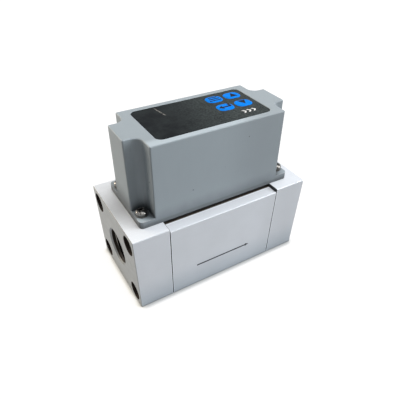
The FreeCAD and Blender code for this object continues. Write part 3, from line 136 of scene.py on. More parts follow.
class Bench:
    """The node tree of one material or of the world, where its look is put together."""

    def __init__(self, name: str, collection: bpy.types.bpy_prop_collection = bpy.data.materials) -> None:
        """Start an empty node tree.

        Args:
            name: Name of the material or world.
            collection: Blender's materials or worlds, which the new one is put in.
        """
        self.owner = collection.new(name)
        self.owner.use_nodes = True
        self.tree = self.owner.node_tree
        self.tree.nodes.clear()

    def add(self, kind: str, settings: dict | None = None, inputs: dict | None = None,
            output: int | str = 0) -> "Field":
        """Add a node.

        Args:
            kind: Blender's name of the node's type.
            settings: Properties of the node, set before its sockets.
            inputs: Value or field for each named or numbered socket.
            output: Name or number of the socket that is wanted.

        Returns:
            The wanted socket as a field.
        """
        node = self.tree.nodes.new(kind)
        for key, value in (settings or {}).items():
            setattr(node, key, value)
        for key, value in (inputs or {}).items():
            socket = node.inputs[key]
            if isinstance(value, Field):
                self.tree.links.new(value.socket, socket)
            elif isinstance(value, Sequence) and socket.type == "RGBA":
                socket.default_value = (*value, 1.0)
            else:
                socket.default_value = value
        return Field(self, node.outputs[output])

    def math(self, operation: str, *terms: Term) -> Field:
        """Math node on one, two or three values."""
        return self.add("ShaderNodeMath", {"operation": operation}, dict(enumerate(terms)))

    def vector(self, operation: str, *terms: Term, output: int | str = 0) -> Field:
        """Vector Math node on vectors."""
        return self.add("ShaderNodeVectorMath", {"operation": operation}, dict(enumerate(terms)), output)

    def mix(self, share: Term, first: Term, second: Term) -> Field:
        """Colour between two colours: the first at a share of 0, the second at 1."""
        sockets = {0: share, 6: first, 7: second}
        return self.add("ShaderNodeMix", {"data_type": "RGBA"}, sockets, output=2)

    def place(self) -> Field:
        """Where the surface lies, in metres, in the frame of the meter."""
        return self.add("ShaderNodeTexCoord", output="Object")

    def facing(self) -> Field:
        """Direction that the flat surface faces."""
        return self.add("ShaderNodeNewGeometry", output="True Normal")

    def seen(self) -> Field:
        """Tell rays that show a thing from rays that light one.

        Returns:
            1 for what is seen straight, in a reflection or through a clear thing.
        """
        path = self.add("ShaderNodeLightPath", output="Is Camera Ray")
        mirrored, through = (Field(self, path.socket.node.outputs[name])
                             for name in ("Is Glossy Ray", "Is Transmission Ray"))
        return path.at_least(mirrored).at_least(through)

    def parts(self, vector: Field) -> tuple[Field, Field, Field]:
        """The three numbers of a vector."""
        first = self.add("ShaderNodeSeparateXYZ", inputs={0: vector})
        return first, *(Field(self, first.socket.node.outputs[index]) for index in (1, 2))

    def away(self, first: Field, second: Field) -> Field:
        """Distance from an axis, from the distances along two square directions."""
        return self.math("SQRT", first * first + second * second)

    def scaled(self, colour: Term, factor: Field) -> Field:
        """A colour or vector times a number that varies."""
        return self.add("ShaderNodeVectorMath", {"operation": "SCALE"}, {0: colour, "Scale": factor})

    def noise(self, vector: Field, grain: float, detail: float = 2.0, twist: float = 0.0,
              stretch: Sequence[float] | None = None) -> Field:
        """Cloudy noise from 0 to 1 around 0.5.

        Args:
            vector: Where it is read.
            grain: Size of its spots, in units of the vector.
            detail: How many finer layers lie on it.
            twist: How far it distorts itself.
            stretch: Factor for each axis. The spots are longer along an axis with a factor below 1.

        Returns:
            The noise.
        """
        if stretch is not None:
            vector = self.vector("MULTIPLY", vector, stretch)
        values = {"Vector": vector, "Scale": 1.0 / grain, "Detail": detail, "Distortion": twist}
        return self.add("ShaderNodeTexNoise", inputs=values)

    def edges(self, reach: float, samples: int = 6) -> Field:
        """How sharply the solid turns within a reach: 0 on a flat face, towards 1 on an edge."""
        rounded = self.add("ShaderNodeBevel", {"samples": samples}, {"Radius": reach})
        return 1.0 - self.vector("DOT_PRODUCT", rounded, self.facing(), output="Value")

    def hollow(self, reach: float, samples: int = 6) -> Field:
        """Share of open space above the surface within a reach: 1 in the open, less in a corner."""
        return self.add("ShaderNodeAmbientOcclusion", {"samples": samples}, {"Distance": reach}, "AO")

    def bump(self, height: Field, depth: float, strength: float = 1.0) -> Field:
        """Normal of a surface with a height that is a share of depth."""
        return self.add("ShaderNodeBump", inputs={"Height": height, "Distance": depth, "Strength": strength})

    def finish(self, sockets: dict, share: Field | None = None,
               others: dict | None = None) -> bpy.types.Material:
        """Put the surface shader on the material.

        Args:
            sockets: Value or field for the shader's sockets by name.
            share: Share of a second shader, where there is one.
            others: Value or field for the second shader's sockets.

        Returns:
            The finished material.
        """
        shader = self.add("ShaderNodeBsdfPrincipled", inputs=sockets)
        if share is not None:
            other = self.add("ShaderNodeBsdfPrincipled", inputs=others)
            shader = self.add("ShaderNodeMixShader", inputs={0: share, 1: shader, 2: other})
        self.close(shader)
        return self.owner

    def close(self, shader: Field) -> None:
        """Link a shader to the output of the material or of the world.

        Args:
            shader: The shader or background that the owner shows.
        """
        world = isinstance(self.owner, bpy.types.World)
        output = self.tree.nodes.new("ShaderNodeOutputWorld" if world else "ShaderNodeOutputMaterial")
        self.tree.links.new(shader.socket, output.inputs["Surface"])


def scaled(colour: Colour, factor: float | Sequence[float]) -> Colour:
    """A colour times one factor, or each part times its own, and no more than 1."""
    return tuple(np.minimum(np.multiply(colour, factor), 1.0).tolist())


class Finish(Protocol):
    """Look of a surface."""

    def material(self) -> bpy.types.Material:
        """Make the material that shows it."""


@dataclass(frozen=True)
class BlastedMetal:
    """Aluminium milled flat, blasted with fine beads and anodised, as on the three blocks.

    A shade is a share of the colour that is taken away as painted shade.
    """

    name: str
    colour: Colour
    end_colour: Colour
    lit_top_colour: Colour
    foot_shade: float = 0.0
    bores: tuple[tuple[float, float, float], ...] = ()
    bore_shade_colour: Colour = (0.03, 0.024, 0.019)
    bore_lip: Sequence[float] = (0.14 * MM, 0.06 * MM)
    worn_and_highlight_colour: Colour = (0.95, 0.96, 0.98)
    foot_reflection_tint: Colour = (0.9, 0.98, 1.03)
    edge_wear_and_highlight: float = 0.2
    seam: float = 34.5 * MM
    cover: float = 20.2 * MM
    step_level: Sequence[float] = (49.5 * MM, 49 * MM)
    foot_height: float = 22 * MM
    sill_height: Sequence[float] = (0.9 * MM, 0.35 * MM)
    sill_shade: float = 0.72
    sunk_shade: float = 0.75
    far_shade: float = 0.13
    line_depth: float = 0.36
    patch_depth: float = 0.4
    roughness: float = 0.46
    top_roughness: float = 0.42
    metallic: float = 0.3
    top_metallic: float = 0.1
    grain: float = 0.28 * MM
    cloud: float = 14 * MM
    streak: Sequence[float] = (0.03, 1.0, 1.0)

    def bore_mask(self, bench: Bench, back: Field, level: Field) -> Field:
        """Mask of the bores, which all run along the flow: each is an (y, z, radius).

        Args:
            bench: Node tree of the material.
            back: Place across the flow.
            level: Height.

        Returns:
            1 inside a bore and on its lip.
        """
        mask = None
        for bore_y, bore_z, radius in self.bores:
            reach = bench.away(back - bore_y, level - bore_z)
            inside = reach.ramp(*(radius + lip for lip in self.bore_lip))
            mask = inside if mask is None else mask.at_least(inside)
        return mask

    def joints(self, along: Field, level: Field, ends: Field, sides: Field) -> tuple[Field, Field]:
        """Seams between the blocks, told by their place along the flow.

        The inlet's seam is darker than the outlet's, and both are darker higher up.

        Args:
            along: Place along the flow.
            level: Height.
            ends: Mask of the faces across the flow.
            sides: Mask of all but the tops.

        Returns:
            How dark seams and the steps beside them are, and where painted light brightens the groove at each
            seam.
        """
        away = abs(abs(along) - self.seam)
        seam = away.ramp(0.32 * MM, 0.1 * MM) * sides
        seam = seam * along.ramp(-1 * MM, 1 * MM, 1.0, 0.1) * level.ramp(4 * MM, 34 * MM, 0.15, 0.85)
        # Painted light in the grooves at the seams.
        groove_light = away.ramp(0.6 * MM, 0.4 * MM) * sides * (0.7 - seam).at_least(0.0)
        step = ends * abs(along).ramp(self.seam + 0.6 * MM, self.seam + 0.3 * MM)
        return seam.at_least(step * 0.95), groove_light

    def material(self) -> bpy.types.Material:
        """Fine grain, faint milling streaks along the flow, cloudy tone, worn edges with painted highlights,
        and painted light and shade by place.

        Returns:
            The material, with bores painted nearly black as shade where it has some.
        """
        bench = Bench(self.name)
        place = bench.place()
        along, back, level = bench.parts(place)
        across, _, upwards = bench.parts(bench.facing())
        ends, tops = abs(across).ramp(0.3, 0.45), upwards.ramp(0.9, 0.98)
        sides = 1.0 - tops

        grain = bench.noise(place, self.grain, 3.0)
        clouds = bench.noise(place, self.cloud, 3.0, 0.4)
        streaks = bench.noise(place, 0.35 * MM, 2.0, stretch=self.streak)
        lines = bench.noise(place, 0.9 * MM, 3.0, 0.4, (1.0, 0.05, 1.0))
        patches = bench.noise(place, 3.2 * MM, 3.0, 0.8, (1.0, 0.5, 1.0))
        tooled = 1.0 + ends * (self.line_depth * (lines - 0.5) + self.patch_depth * (patches - 0.5))
        tone = (0.86 + 0.1 * clouds + 0.14 * grain + (0.04 + 0.08 * tops) * streaks) * tooled

        # Painted shade towards the foot, in a thin line at the bottom edge, and where the end faces turn up.
        foot = level.ramp(self.foot_height, -3 * MM) * (1.0 - ends)
        sill = level.ramp(*self.sill_height) * self.sill_shade
        sunk = ends * upwards.at_least(0.0) * self.sunk_shade
        # Painted shadow on the tops beside the housing's end, strongest at the inlet.
        beside = abs(back - 2 * MM).ramp(19 * MM, 1 * MM) * tops
        beside = beside * along.ramp(-40 * MM, -50 * MM, 0.12, 0.23)
        # Painted light: the tops are a little lighter at the inlet than at the outlet.
        slant = 1.0 + tops * (along.ramp(-20 * MM, -45 * MM) * 0.07 - along.ramp(30 * MM, 50 * MM) * 0.02)
        # Painted shade on the walls towards the outlet.
        far = along.ramp(15 * MM, 48 * MM) * self.far_shade * sides
        tone = (tone * slant).less(sunk, foot * self.foot_shade, sill, beside, far)

        # Painted shadow makes the flow body's top black under the housing, and painted light makes it bright
        # again in front of it and behind it.
        lowered = level.ramp(*self.step_level) * tops
        under_housing_shadow = abs(back).ramp(self.cover + 0.1 * MM, self.cover) * lowered
        lip = abs(back).ramp(23 * MM, 20.6 * MM) * lowered
        seams, groove_light = self.joints(along, level, ends, sides)
        dark = (under_housing_shadow * 0.98).at_least(seams)
        lit = (tone.less(dark) * (1.0 + groove_light * 1.2) * (1.0 + lip * 0.35)).at_most(1.4)

        # Painted reflection: the walls turn bluer towards the foot.
        cool = bench.mix(foot * 0.8, self.colour, scaled(self.colour, self.foot_reflection_tint))
        # Painted light: the tops take a lighter colour than the walls. The end faces have their own darker
        # colour.
        face = bench.mix(tops, bench.mix(ends, cool, self.end_colour), self.lit_top_colour)
        # Worn metal and painted highlights make the front and back edges pale.
        edges = bench.edges(0.35 * MM).ramp(0.02, 0.3) * self.edge_wear_and_highlight * abs(back).ramp(26 * MM, 27 * MM)
        rough = tops.ramp(0.0, 1.0, self.roughness, self.top_roughness)
        metal = {
            "Base Color": bench.scaled(bench.mix(edges, face, self.worn_and_highlight_colour), lit),
            "Metallic": tops.ramp(0.0, 1.0, self.metallic, self.top_metallic),
            "Roughness": rough - 0.06 + 0.1 * grain + 0.04 * clouds,
            "Normal": bench.bump(grain * 0.6 + streaks * 0.4, 0.012 * MM, 0.5),
        }
        if not self.bores:
            return bench.finish(metal)
        # Painted shade: the bores are nearly black, with faint streaks.
        film = bench.noise(place, 0.6 * MM, 3.0, 1.0, (1.0, 0.4, 0.4))
        bore_shade = bench.mix(film.ramp(0.4, 0.7), self.bore_shade_colour, scaled(self.bore_shade_colour, 2.4))
        shaded_bore = {"Base Color": bore_shade, "Roughness": 0.5 + 0.2 * film, "Specular IOR Level": 0.12}
        return bench.finish(metal, self.bore_mask(bench, back, level), shaded_bore)


@dataclass(frozen=True)
class ThreadMetal:
    """Cut thread, with painted shade, nearly black, between its ridges and pale metal along their crests."""

    name: str
    crest: float
    axis_level: float
    bright: Colour = (0.7, 0.68, 0.64)
    dark: Colour = (0.014, 0.012, 0.01)

    def material(self) -> bpy.types.Material:
        """The distance from the port's axis tells crests from roots.

        Returns:
            The material.
        """
        bench = Bench(self.name)
        place = bench.place()
        _, back, level = bench.parts(place)
        reach = bench.away(back, level - self.axis_level)
        chatter = bench.noise(place, 0.5 * MM, 3.0, 0.6, (0.2, 1.0, 1.0))
        crests = (reach + (chatter - 0.5) * (0.1 * MM)).ramp(self.crest + 0.25 * MM, self.crest + 0.02 * MM)
        # Painted shade: the roots are nearly black.
        return bench.finish({
            "Base Color": bench.mix(crests * 0.95, self.dark, self.bright),
            "Metallic": 0.4 * crests,
            "Roughness": 0.42 + 0.15 * chatter,
            "Specular IOR Level": 0.15,
            "Normal": bench.bump(chatter, 0.02 * MM, 0.4),
        })


@dataclass(frozen=True)
class CastPaint:
    """Satin paint on a die-cast shell, with fine peel, a few casting pits, rubbed rims and painted rim
    highlights.

    A shade is a share of the colour that is taken away as painted shade. foot is the level of the shell's
    lower rim, and a pit is an (x, y, z, size) in millimetres.
    """

    name: str
    colour: Colour
    pits: tuple[tuple[float, float, float, float], ...]
    foot: float = 50 * MM
    foot_height: float = 10 * MM
    foot_shade: float = 0.42
    end_shade: float = 0.55
    far_shade: float = 0.2
    sole_shade: float = 0.25
    pad_shade: float = 0.56
    top_lift: float = -0.1
    sheen: float = 0.42
    rim_highlight_share: float = 0.5
    rub_share: float = 0.45
    corner_shade_tint: float = 0.08
    pit_tint: float = 0.12
    roughness: float = 0.43
    peel: float = 0.9 * MM
    speckle: float = 0.35 * MM
    metal: Colour = (0.62, 0.64, 0.66)

    def pit_mask(self, bench: Bench, place: Field, ragged: Field) -> Field:
        """Mask of the pits, each a ragged ball round its own centre.

        Args:
            bench: Node tree of the material.
            place: Where the surface lies.
            ragged: Noise that breaks the outlines.

        Returns:
            How deep a point lies in one of them, from 0 to 1.
        """
        mask = None
        for *spot, size in self.pits:
            away = bench.vector("DISTANCE", place, [part * MM for part in spot], output="Value")
            depth = (away + ragged * (0.5 * size * MM)).ramp(size * MM, 0.45 * size * MM)
            mask = depth if mask is None else mask.at_least(depth)
        return mask

    def material(self) -> bpy.types.Material:
        """Peel and speckle as bump, clouds and painted shade as tone, pits dark, rims rubbed and with painted
        highlights towards metal.

        Returns:
            The material.
        """
        bench = Bench(self.name)
        place = bench.place()
        along, back, level = bench.parts(place)
        across, _, upwards = bench.parts(bench.facing())
        above = level - self.foot
        tops = upwards.ramp(0.9, 0.98)
        sides = 1.0 - tops

        peel = bench.noise(place, self.peel, 2.0)
        speckle = bench.noise(place, self.speckle, 3.0)
        clouds = bench.noise(place, 9 * MM, 4.0, 0.6)
        runs = bench.noise(place, 2.5 * MM, 2.0, stretch=(1.0, 1.0, 0.12))
        pits = self.pit_mask(bench, place, speckle)
        rubbed = (bench.edges(0.3 * MM) + (speckle - 0.5) * 0.5).ramp(0.22, 0.6)
        open_air = bench.hollow(5 * MM)
        # Painted highlights along the sharp rims that stand in the open.
        rim_highlights = bench.edges(0.9 * MM).ramp(0.05, 0.3) * open_air.ramp(0.75, 0.95)

        # Painted light and shade: the top is a little darker overall, with a painted sheen in front of the
        # window, and the walls have painted shade towards their foot, most of all on the two ends, and
        # towards the outlet.
        sheen_band = (along + (clouds - 0.5) * (20 * MM)).ramp(26 * MM, 6 * MM) * back.ramp(-13 * MM, -17 * MM)
        lift = 1.0 + tops * (self.top_lift + self.sheen * sheen_band)
        # Painted shade on the pads, darker towards the notch walls.
        pads = tops * above.ramp(6 * MM, 5 * MM) * abs(along).ramp(46 * MM, 38 * MM)
        foot = (above + (clouds - 0.5) * (3 * MM)).ramp(self.foot_height, 0.0) * sides
        sole = above.ramp(2.8 * MM, 1.6 * MM) * self.sole_shade * sides
        ends = abs(across).ramp(0.7, 0.9) * above.ramp(16 * MM, 4 * MM) * self.end_shade
        far = along.ramp(-5 * MM, 28 * MM) * self.far_shade * sides
        tone = (0.93 + 0.05 * clouds + 0.05 * speckle + 0.03 * runs) * lift
        tone = tone.less(pads * self.pad_shade, foot * self.foot_shade, sole, ends, far)

        # Painted shade in the corners, strongest low down.
        corner_shade = open_air.ramp(0.8, 0.3) * (0.55 + 0.4 * above.ramp(self.foot_height, 4 * MM))
        corner_shaded = bench.mix(corner_shade, bench.scaled(self.colour, tone), scaled(self.colour, self.corner_shade_tint))
        # Rubbed paint and painted rim highlights turn the colour towards metal.
        wear_and_rim_highlights = (rim_highlights * self.rim_highlight_share + rubbed * self.rub_share).at_most(1.0)
        painted = bench.mix(wear_and_rim_highlights, corner_shaded, self.metal)
        return bench.finish({
            "Base Color": bench.mix(pits * 0.85, painted, scaled(self.colour, self.pit_tint)),
            "Roughness": self.roughness + 0.12 * speckle - 0.06 * rubbed + 0.2 * pits,
            "Metallic": rubbed * 0.3,
            "Normal": bench.bump(peel * 0.55 + speckle * 0.25 - pits * 2.0, 0.03 * MM, 0.6),
        })


@dataclass(frozen=True)
class TurnedMetal:
    """Metal turned or drawn smooth, bright or darkened, with grease, painted shade in its corners and small
    scratches.
    """

    name: str
    colour: Colour
    stain: Colour
    roughness: float = 0.22
    stain_share: float = 0.3

    def material(self) -> bpy.types.Material:
        """Fine scratches as bump and roughness, cloudy stains, and painted shade in the stain's colour in the
        corners.

        Returns:
            The material.
        """
        bench = Bench(self.name)
        place = bench.place()
        scratches = bench.noise(place, 0.12 * MM, 3.0, 0.5, (1.0, 0.15, 1.0))
        clouds = bench.noise(place, 0.9 * MM, 4.0, 0.8)
        # Painted shade in the corners and recesses, in the stain's colour.
        corner = bench.hollow(1.2 * MM).ramp(0.85, 0.35)
        stain_and_shade = (clouds.ramp(0.42, 0.72) + corner).at_most(1.0) * self.stain_share
        return bench.finish({
            "Base Color": bench.mix(stain_and_shade, self.colour, self.stain),
            "Metallic": 1.0,
            "Roughness": self.roughness + 0.14 * clouds + 0.08 * scratches + 0.15 * stain_and_shade,
            "Normal": bench.bump(scratches, 0.006 * MM, 0.5),
        })


@dataclass(frozen=True)
class Moulded:
    """Moulded plastic or rubber: even colour, fine spark texture, dust in the corners."""

    name: str
    colour: Colour
    roughness: float = 0.55
    grain: float = 0.25 * MM
    relief: float = 0.02 * MM
    coat: float = 0.0
    dust_colour: Colour = (0.3, 0.28, 0.25)
    dust_share: float = 0.18

    def material(self) -> bpy.types.Material:
        """Spark texture as bump, faint flow marks and corner dust as tone.

        Returns:
            The material.
        """
        bench = Bench(self.name)
        place = bench.place()
        texture = bench.noise(place, self.grain, 3.0)
        flow = bench.noise(place, 2.2 * MM, 3.0, 0.8, (0.3, 1.0, 1.0))
        dust = bench.hollow(1.5 * MM).ramp(0.8, 0.3)
        body = bench.mix(flow, scaled(self.colour, 0.88), scaled(self.colour, 1.14))
        return bench.finish({
            "Base Color": bench.mix(dust * self.dust_share, body, self.dust_colour),
            "Roughness": self.roughness + 0.12 * texture + 0.08 * dust,
            "Coat Weight": self.coat,
            "Normal": bench.bump(texture, self.relief, 0.6),
        })


@dataclass(frozen=True)
class BoardLaminate:
    """Glass-fibre circuit board: solder mask over a weave and copper tracks, with tinned pads."""

    name: str
    mask_colour: Colour
    pad_colour: Colour = (0.72, 0.72, 0.7)
    pad_pitch: float = 1.27 * MM
    thread: float = 0.12 * MM

    def material(self) -> bpy.types.Material:
        """Tracks are bands of a coarse noise, pads a square lattice, the weave a pair of crossed waves.

        Returns:
            The material.
        """
        bench = Bench(self.name)
        place = bench.place()
        x, y, _ = bench.parts(place)
        route = bench.noise(place, 5 * MM, 1.0, stretch=(1.0, 1.0, 0.2))
        tracks = bench.math("PINGPONG", route * 14.0, 1.0).ramp(0.62, 0.72)
        step_x, step_y = (bench.math("PINGPONG", value / self.pad_pitch, 1.0) for value in (x, y))
        chosen = bench.noise(place, 7 * MM, 1.0).ramp(0.58, 0.6)
        pads = (step_x * step_x + step_y * step_y).ramp(0.16, 0.1) * chosen
        weave = bench.math("SINE", x / self.thread) * bench.math("SINE", y / self.thread)
        green = bench.mix(tracks, scaled(self.mask_colour, 0.8), scaled(self.mask_colour, 1.5))
        return bench.finish({
            "Base Color": bench.mix(pads, green, self.pad_colour),
            "Metallic": pads * 0.9,
            "Roughness": 0.32 + 0.1 * route - 0.05 * pads,
            "Normal": bench.bump(tracks + weave * 0.15 + pads, 0.03 * MM, 0.5),
        })


@dataclass(frozen=True)
class PanelFilm:
    """Printed polyester film: near-black ground and blue keys, faintly textured, with one light scratch."""

    name: str
    ground: Colour
    sheen_colour: Colour
    key_colour: Colour
    key_middle: Sequence[float]
    key_pitch: Sequence[float]
    key_size: Sequence[float]
    key_round: float
    scratch: tuple[tuple[float, float], tuple[float, float]]
    scratch_colour: Colour = (0.45, 0.43, 0.4)
    roughness: float = 0.36

    def key_mask(self, bench: Bench, x: Field, y: Field) -> Field:
        """Mask of the keys. Folding the place about the keys' middle makes four of one rounded rectangle.

        Args:
            bench: Node tree of the material.
            x: Place along the flow.
            y: Place across the flow.

        Returns:
            1 inside the keys.
        """
        beyond = []
        for value, middle, pitch, size in zip((x, y), self.key_middle, self.key_pitch, self.key_size):
            folded = abs(abs(value - middle) - pitch / 2)
            beyond.append((folded - (size / 2 - self.key_round)).at_least(0.0))
        return bench.away(*beyond).ramp(self.key_round + 0.06 * MM, self.key_round - 0.06 * MM)

    def scratch_mask(self, bench: Bench, x: Field, y: Field, ragged: Field) -> Field:
        """Mask of a broken line between two points, from the distance to its nearest point.

        Args:
            bench: Node tree of the material.
            x: Place along the flow.
            y: Place across the flow.
            ragged: Noise that bends and breaks the line.

        Returns:
            1 along the line.
        """
        (start_x, start_y), (end_x, end_y) = self.scratch
        run_x, run_y = end_x - start_x, end_y - start_y
        square = run_x * run_x + run_y * run_y
        along = (x - start_x) * (run_x / square) + (y - start_y) * (run_y / square)
        held = along.at_least(0.0).at_most(1.0)
        away_x = x - (held * run_x + start_x) + (ragged - 0.5) * (1.6 * MM)
        away_y = y - (held * run_y + start_y)
        return bench.away(away_x, away_y).ramp(0.42 * MM, 0.12 * MM) * ragged.ramp(0.35, 0.6)

    def material(self) -> bpy.types.Material:
        """Blue where the keys are, black elsewhere, with a satin texture, a painted sheen in hazy patches and
        the scratch.

        Returns:
            The material.
        """
        bench = Bench(self.name)
        place = bench.place()
        x, y, _ = bench.parts(place)
        texture = bench.noise(place, 0.22 * MM, 3.0)
        haze = bench.noise(place, 6 * MM, 4.0, 0.2)
        smear = bench.noise(place, 3 * MM, 3.0, 1.0, (0.4, 1.0, 1.0))
        mottle = bench.noise(place, 0.8 * MM, 3.0, 0.4, (0.7, 1.0, 1.0))
        scratch = self.scratch_mask(bench, x, y, bench.noise(place, 1.6 * MM, 3.0))

        # Painted sheen: the film is paler towards the outlet, where the keys are, and in hazy patches.
        slope = (x - y * 0.15).ramp(-24 * MM, 22 * MM)
        shine = haze.ramp(0.3, 0.7) * 0.16 + mottle.ramp(0.3, 0.75) * (0.04 + 0.5 * slope) + 0.16 * slope
        dark = bench.mix(shine.at_most(1.0), self.ground, self.sheen_colour)
        blue = bench.mix(smear * 0.3, self.key_colour, scaled(self.key_colour, 1.2))
        printed = bench.mix(self.key_mask(bench, x, y), dark, blue)
        return bench.finish({
            "Base Color": bench.mix(scratch * 0.45, printed, self.scratch_colour),
            "Roughness": self.roughness + 0.1 * texture + 0.12 * haze.ramp(0.4, 0.75) + 0.1 * scratch,
            "Specular IOR Level": 0.02,
            "Normal": bench.bump(texture - scratch * 0.5, 0.01 * MM, 0.5),
        })


@dataclass(frozen=True)
class Ink:
    """Screen-printed ink: one colour, slightly ragged and uneven."""

    name: str
    colour: Colour
    roughness: float = 0.5

    def material(self) -> bpy.types.Material:
        """Thin places of the ink are lighter or darker, and its surface is finely rough.

        Returns:
            The material.
        """
        bench = Bench(self.name)
        place = bench.place()
        cover = bench.noise(place, 0.5 * MM, 3.0).ramp(0.3, 0.75)
        grain = bench.noise(place, 0.1 * MM, 2.0)
        return bench.finish({
            "Base Color": bench.mix(cover, scaled(self.colour, 1.25), scaled(self.colour, 0.85)),
            "Roughness": self.roughness + 0.15 * grain,
            "Specular IOR Level": 0.1,
            "Normal": bench.bump(grain, 0.01 * MM, 0.4),
        })


@dataclass(frozen=True)
class DisplayGlass:
    """Glass of a liquid crystal display, switched off: greenish grey with faint cells."""

    name: str
    colour: Colour
    pitch: float = 0.55 * MM

    def material(self) -> bpy.types.Material:
        """A lattice of faint dark cells under a clear coat.

        Returns:
            The material.
        """
        bench = Bench(self.name)
        place = bench.place()
        x, y, _ = bench.parts(place)
        column, row = (bench.math("PINGPONG", value / self.pitch, 1.0).ramp(0.1, 0.2) for value in (x, y))
        cell = column * row
        return bench.finish({
            "Base Color": bench.mix(cell * 0.3, self.colour, scaled(self.colour, 0.7)),
            "Roughness": 0.12 + 0.08 * bench.noise(place, 4 * MM, 3.0),
            "Coat Weight": 0.6,
            "Normal": bench.bump(cell, 0.005 * MM, 0.3),
        })


def middle_of(node: str) -> np.ndarray:
    """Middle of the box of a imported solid."""
    low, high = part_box(node)
    return (np.array(low) + np.array(high)) / 2


def grid_faces(rows: int, columns: int, wrap: bool = False) -> np.ndarray:
    """Quads between neighbours of a grid whose point (i, j) has the number i * columns + j.

    Args:
        rows: Number of rows.
        columns: Number of points in a row.
        wrap: Whether a row's last point is joined to its first.

    Returns:
        One row of four point numbers for each quad.
    """
    i, j = np.meshgrid(np.arange(rows - 1), np.arange(columns if wrap else columns - 1), indexing="ij")
    beside = (j + 1) % columns
    corners = (i * columns + j, i * columns + beside, (i + 1) * columns + beside, (i + 1) * columns + j)
    return np.stack(corners, axis=-1).reshape(-1, 4)


def merged(parts: Iterable[Shape]) -> Shape:
    """Several shapes as one.

    Args:
        parts: Points as rows of three, and faces as lists of point numbers, for each shape.

    Returns:
        All points, and all faces with their numbers moved on.
    """
    points, faces, count = [], [], 0
    for some, some_faces in parts:
        points.append(np.asarray(some, float).reshape(-1, 3))
        faces += [[number + count for number in face] for face in some_faces]
        count += len(points[-1])
    return np.concatenate(points), faces


def turned_solid(points: np.ndarray) -> Shape:
    """Closed turned shape from rows round its axis, which start and end at the axis or in one place."""
    rows, columns = points.shape[:2]
    return points.reshape(-1, 3), grid_faces(rows, columns, wrap=True).tolist()


def slab(outline: np.ndarray, low: float, high: float) -> Shape:
    """Flat plate: the outline at both levels, a quad under each of its edges, and a face on each level.

    Args:
        outline: Closed outline as rows of (x, y).
        low: Level of its underside.
        high: Level of its top.

    Returns:
        Points and faces.
    """
    count = len(outline)
    points = np.zeros((2, count, 3))
    points[:, :, :2] = outline
    points[0, :, 2], points[1, :, 2] = low, high
    faces = grid_faces(2, count, wrap=True).tolist()
    faces += [list(range(count))[::-1], list(range(count, 2 * count))]
    return points.reshape(-1, 3), faces


def make_piece(name: str, shape: Shape, material: bpy.types.Material,
               replaced: Sequence[str] = (), crease: float = 35.0) -> bpy.types.Object:
    """Make a piece of the meter, with its place in its mesh.

    Args:
        name: Name of the piece.
        shape: Its points and faces.
        material: Its finish.
        replaced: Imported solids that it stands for.
        crease: Angle in degrees from which an edge stays sharp.

    Returns:
        The piece, riding on the meter's only body.
    """
    points, faces = shape
    mesh = bpy.data.meshes.new(name)
    mesh.from_pydata(points, [], faces)
    work = bmesh.new()
    work.from_mesh(mesh)
    bmesh.ops.remove_doubles(work, verts=work.verts, dist=1e-7)
    bmesh.ops.recalc_face_normals(work, faces=work.faces)
    work.to_mesh(mesh)
    work.free()
    mesh.shade_smooth()
    mesh.set_sharp_from_angle(angle=math.radians(crease))
    mesh.materials.append(material)
    piece = bpy.data.objects.new(name, mesh)
    bpy.context.scene.collection.objects.link(piece)
    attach(piece, "root")
    if replaced:
        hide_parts(*replaced)
    log.info("%s: %d faces", name, len(mesh.polygons))
    return piece


def dress(finish: Finish, *nodes: str) -> bpy.types.Material:
    """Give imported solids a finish.

    Args:
        finish: The finish, of which one material is made.
        nodes: Names of the solids.

    Returns:
        The material.
    """
    material = finish.material()
    for name in nodes:
        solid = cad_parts[name]
        solid.data.materials.clear()
        solid.data.materials.append(material)
        log.info("%s wears %s", name, material.name)
    return material


def smooth_step(value: np.ndarray, low: float, high: float) -> np.ndarray:
    """0 up to low, 1 from high on, and 3 t squared less 2 t cubed between them."""
    share = np.clip((value - low) / (high - low), 0.0, 1.0)
    return share * share * (3.0 - 2.0 * share)


